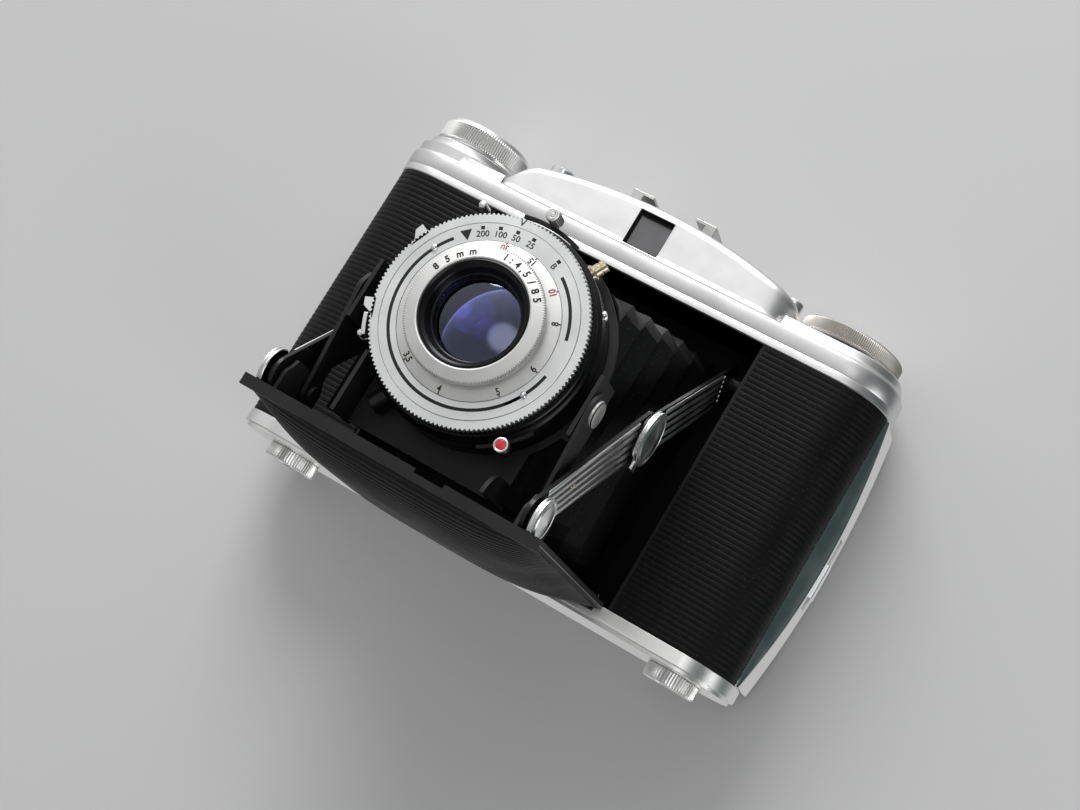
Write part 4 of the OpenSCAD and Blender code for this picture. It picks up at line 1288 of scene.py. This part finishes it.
def levers():
    for node, (angle, reach, spread, out) in LEVERS.items():
        obj = merged(node + "_ring", [sector(angle, spread, out)], node, slot_of(node), BLACK,
                     (node,), 30)
        bevelled(obj, 0.1)
        arm = merged(node + "_arm", [lever_arm(angle, out, reach)], node, slot_of(node),
                     SATIN if node in ("cocking_lever", "release_lever") else BLACK, (), 30)
        bevelled(arm, 0.15)
    shape, steps = toothed(24, 0.22, (2, 3))
    knob = [(0.01, -4.9), (1.0, -4.9), (1.65, -3.6), (1.7, 0.6), (1.5, 0.9), (1.25, 0.95),
            (1.1, 0.7), (0.95, 1.0), (0.75, 1.0), (0.6, 0.7), (0.45, 1.05), (0.01, 1.1)]
    spun("cocking_knob", knob, steps, handle("cocking_lever"), "cocking_lever", "chrome", SATIN,
         (), 25, shape=shape)
    stem = [(0.0, -6.2), (0.95, -6.2), (0.85, -2.6), (0.0, -2.6)]
    spun("timer_stem", stem, 32, handle("timer_lever"), "timer_lever", slot_of("timer_lever"),
         BLACK)
    cup = [(0.01, -2.9), (0.9, -2.9), (1.45, -2.5), (1.75, -0.4), (1.65, 0.0), (1.4, 0.1),
           (1.22, 0.0), (1.18, -0.3), (0.01, -0.3)]
    spun("timer_knob", cup, 48, handle("timer_lever"), "timer_lever", "chrome", SATIN)
    fill = [(0.0, -0.5), (1.19, -0.5), (1.19, -0.08), (0.8, 0.08), (0.0, 0.12)]
    spun("timer_dot", fill, 40, handle("timer_lever"), "timer_lever", "red_glass", RED_DOT, (),
         40)
    pin = [(0.01, -7.6), (0.9, -7.6), (0.95, -3.9), (0.8, -3.5), (0.5, -3.3), (0.01, -3.25)]
    spun("aperture_pin", pin, 32, handle("aperture_lever"), "aperture_lever", "chrome", SATIN)
    peg = [(0.01, -9.0), (0.85, -9.0), (0.9, -6.3), (0.7, -5.9), (0.01, -5.8)]
    spun("release_peg", peg, 32, handle("release_lever"), "release_lever", "chrome", SATIN)
    bevelled(merged("release_tab", [sector(205, 5.5, -9.1, 27.2, 28.3, 3.9)], "release_lever",
                    "chrome", SATIN, (), 30), 0.2)


def posts():
    post = [(0.01, 26.1), (1.9, 26.1), (1.95, 26.9), (1.7, 27.2), (1.5, 27.3), (1.5, 28.6),
            (1.3, 28.7), (1.3, 28.95), (1.5, 29.05), (1.5, 30.0), (1.3, 30.2), (0.9, 30.25),
            (0.8, 29.6), (0.01, 29.6)]
    spun("sync_post_turned", post, 48, about_radial(61, -11.2), "lens_standard", "brass", BRASS,
         ("sync_post",))
    from_cad("cable_socket", 0.12, BLACK)


# ---- the bowed strip on the right end ----
def arc_bow(z, low, high, rise):
    """How far a circle's arc through both ends stands out at a height."""
    half = (high - low) / 2
    radius = (half * half + rise * rise) / (2 * rise)
    return math.sqrt(radius ** 2 - (z - low - half) ** 2) - (radius - rise)


def end_strip():
    """A polished slope that widens towards the middle, then a satin outer face."""
    low, high, rows = BASE + 0.35, TOP - 0.35, 72
    points = []
    for i in range(rows + 1):
        z = low + (high - low) * i / rows
        bow, dip = arc_bow(z, low, high, 2.6), arc_bow(z, low, high, 6.3)
        x0, y0 = HALF_W - 0.05, -4.4
        x1, y1 = HALF_W + 0.6 + bow, -3.6 + dip
        slope = [(x0 + (x1 - x0) * t + 0.12 * math.sin(math.pi * t), y0 + (y1 - y0) * t)
                 for t in (0.0, 0.08, 0.3, 0.5, 0.7, 0.92, 1.0)]
        lip = [(x1 + 0.1, y1 + 0.12), (x1 + 0.1, y1 + 0.5)]
        back = [(x1 + 0.1, 12.7), (x1 - 0.2, 13.0), (x0, 13.0)]
        points += [(x, y, z) for x, y in slope + lip + back]
    obj = solid_mesh("door_strip_bowed", (points, tube_faces(rows + 1, 12)))
    carve(obj, [box_shape((HALF_W + 2, 4.8, AXIS - 10), (HALF_W + 9, 9.2, AXIS + 10))])
    dress(obj, "back_door", SATIN, ("door_strip",), 28)
    two_tone(obj, BAND, lambda c: abs(c.y) < 4.45 * MM and slope_side(c))


def slope_side(c):
    """True on the slope, whose middle line lies this far out at every depth."""
    z = min(max(c.z / MM, BASE + 0.4), TOP - 0.4)
    edge = -3.6 + arc_bow(z, BASE + 0.35, TOP - 0.35, 6.3)
    return c.y / MM < edge - 0.02 and c.x / MM > HALF_W - 0.04


# ---- the rest of the body, from the CAD shapes with softened edges ----
def body_parts():
    rows = (("body_shell", 0.2, BLACK), ("end_plate_right", 0.1, BAND),
            ("end_plate_left", 0.1, BAND), ("film_gate", 0.15, MATT),
            ("film_roller_right", 0.1, CHROME), ("film_roller_left", 0.1, CHROME),
            ("bottom_plate", 0.35, SATIN), ("tripod_bush", 0.15, CHROME),
            # The accessory shoe's darker chrome is a painted reflection.
            ("accessory_shoe", 0.2, SHOE), ("takeup_spool", 0.15, PLASTIC),
            ("feed_spool", 0.15, PLASTIC), ("back_door", 0.25, BLACK),
            ("door_hinge", 0.1, CHROME),
            ("pressure_plate", 0.15, MATT), ("pressure_spring", 0.05, SPRING),
            ("film_window", 0.1, RED_GLASS), ("window_cover", 0.1, SATIN),
            ("door_latch", 0.3, CHROME))
    for node, width, material in rows:
        from_cad(node, width, material)


# ---- finish ----
lens()
shutter()
levers()
posts()
front_skin(1)
front_skin(-1)
back_skin()
bed()
struts()
bellows()
top_cover()
finder()
wind_knob()
dial()
buttons()
body_parts()
end_strip()
make_camera()
make_stage()
make_world()
area_light("main", (-0.55, -0.75, 1.25), (0, 0, 0.04), 0.9, 15.0)
area_light("fill", (1.2, -0.28, -0.30), (0.03, -0.03, 0.03), 0.8, 3.6)
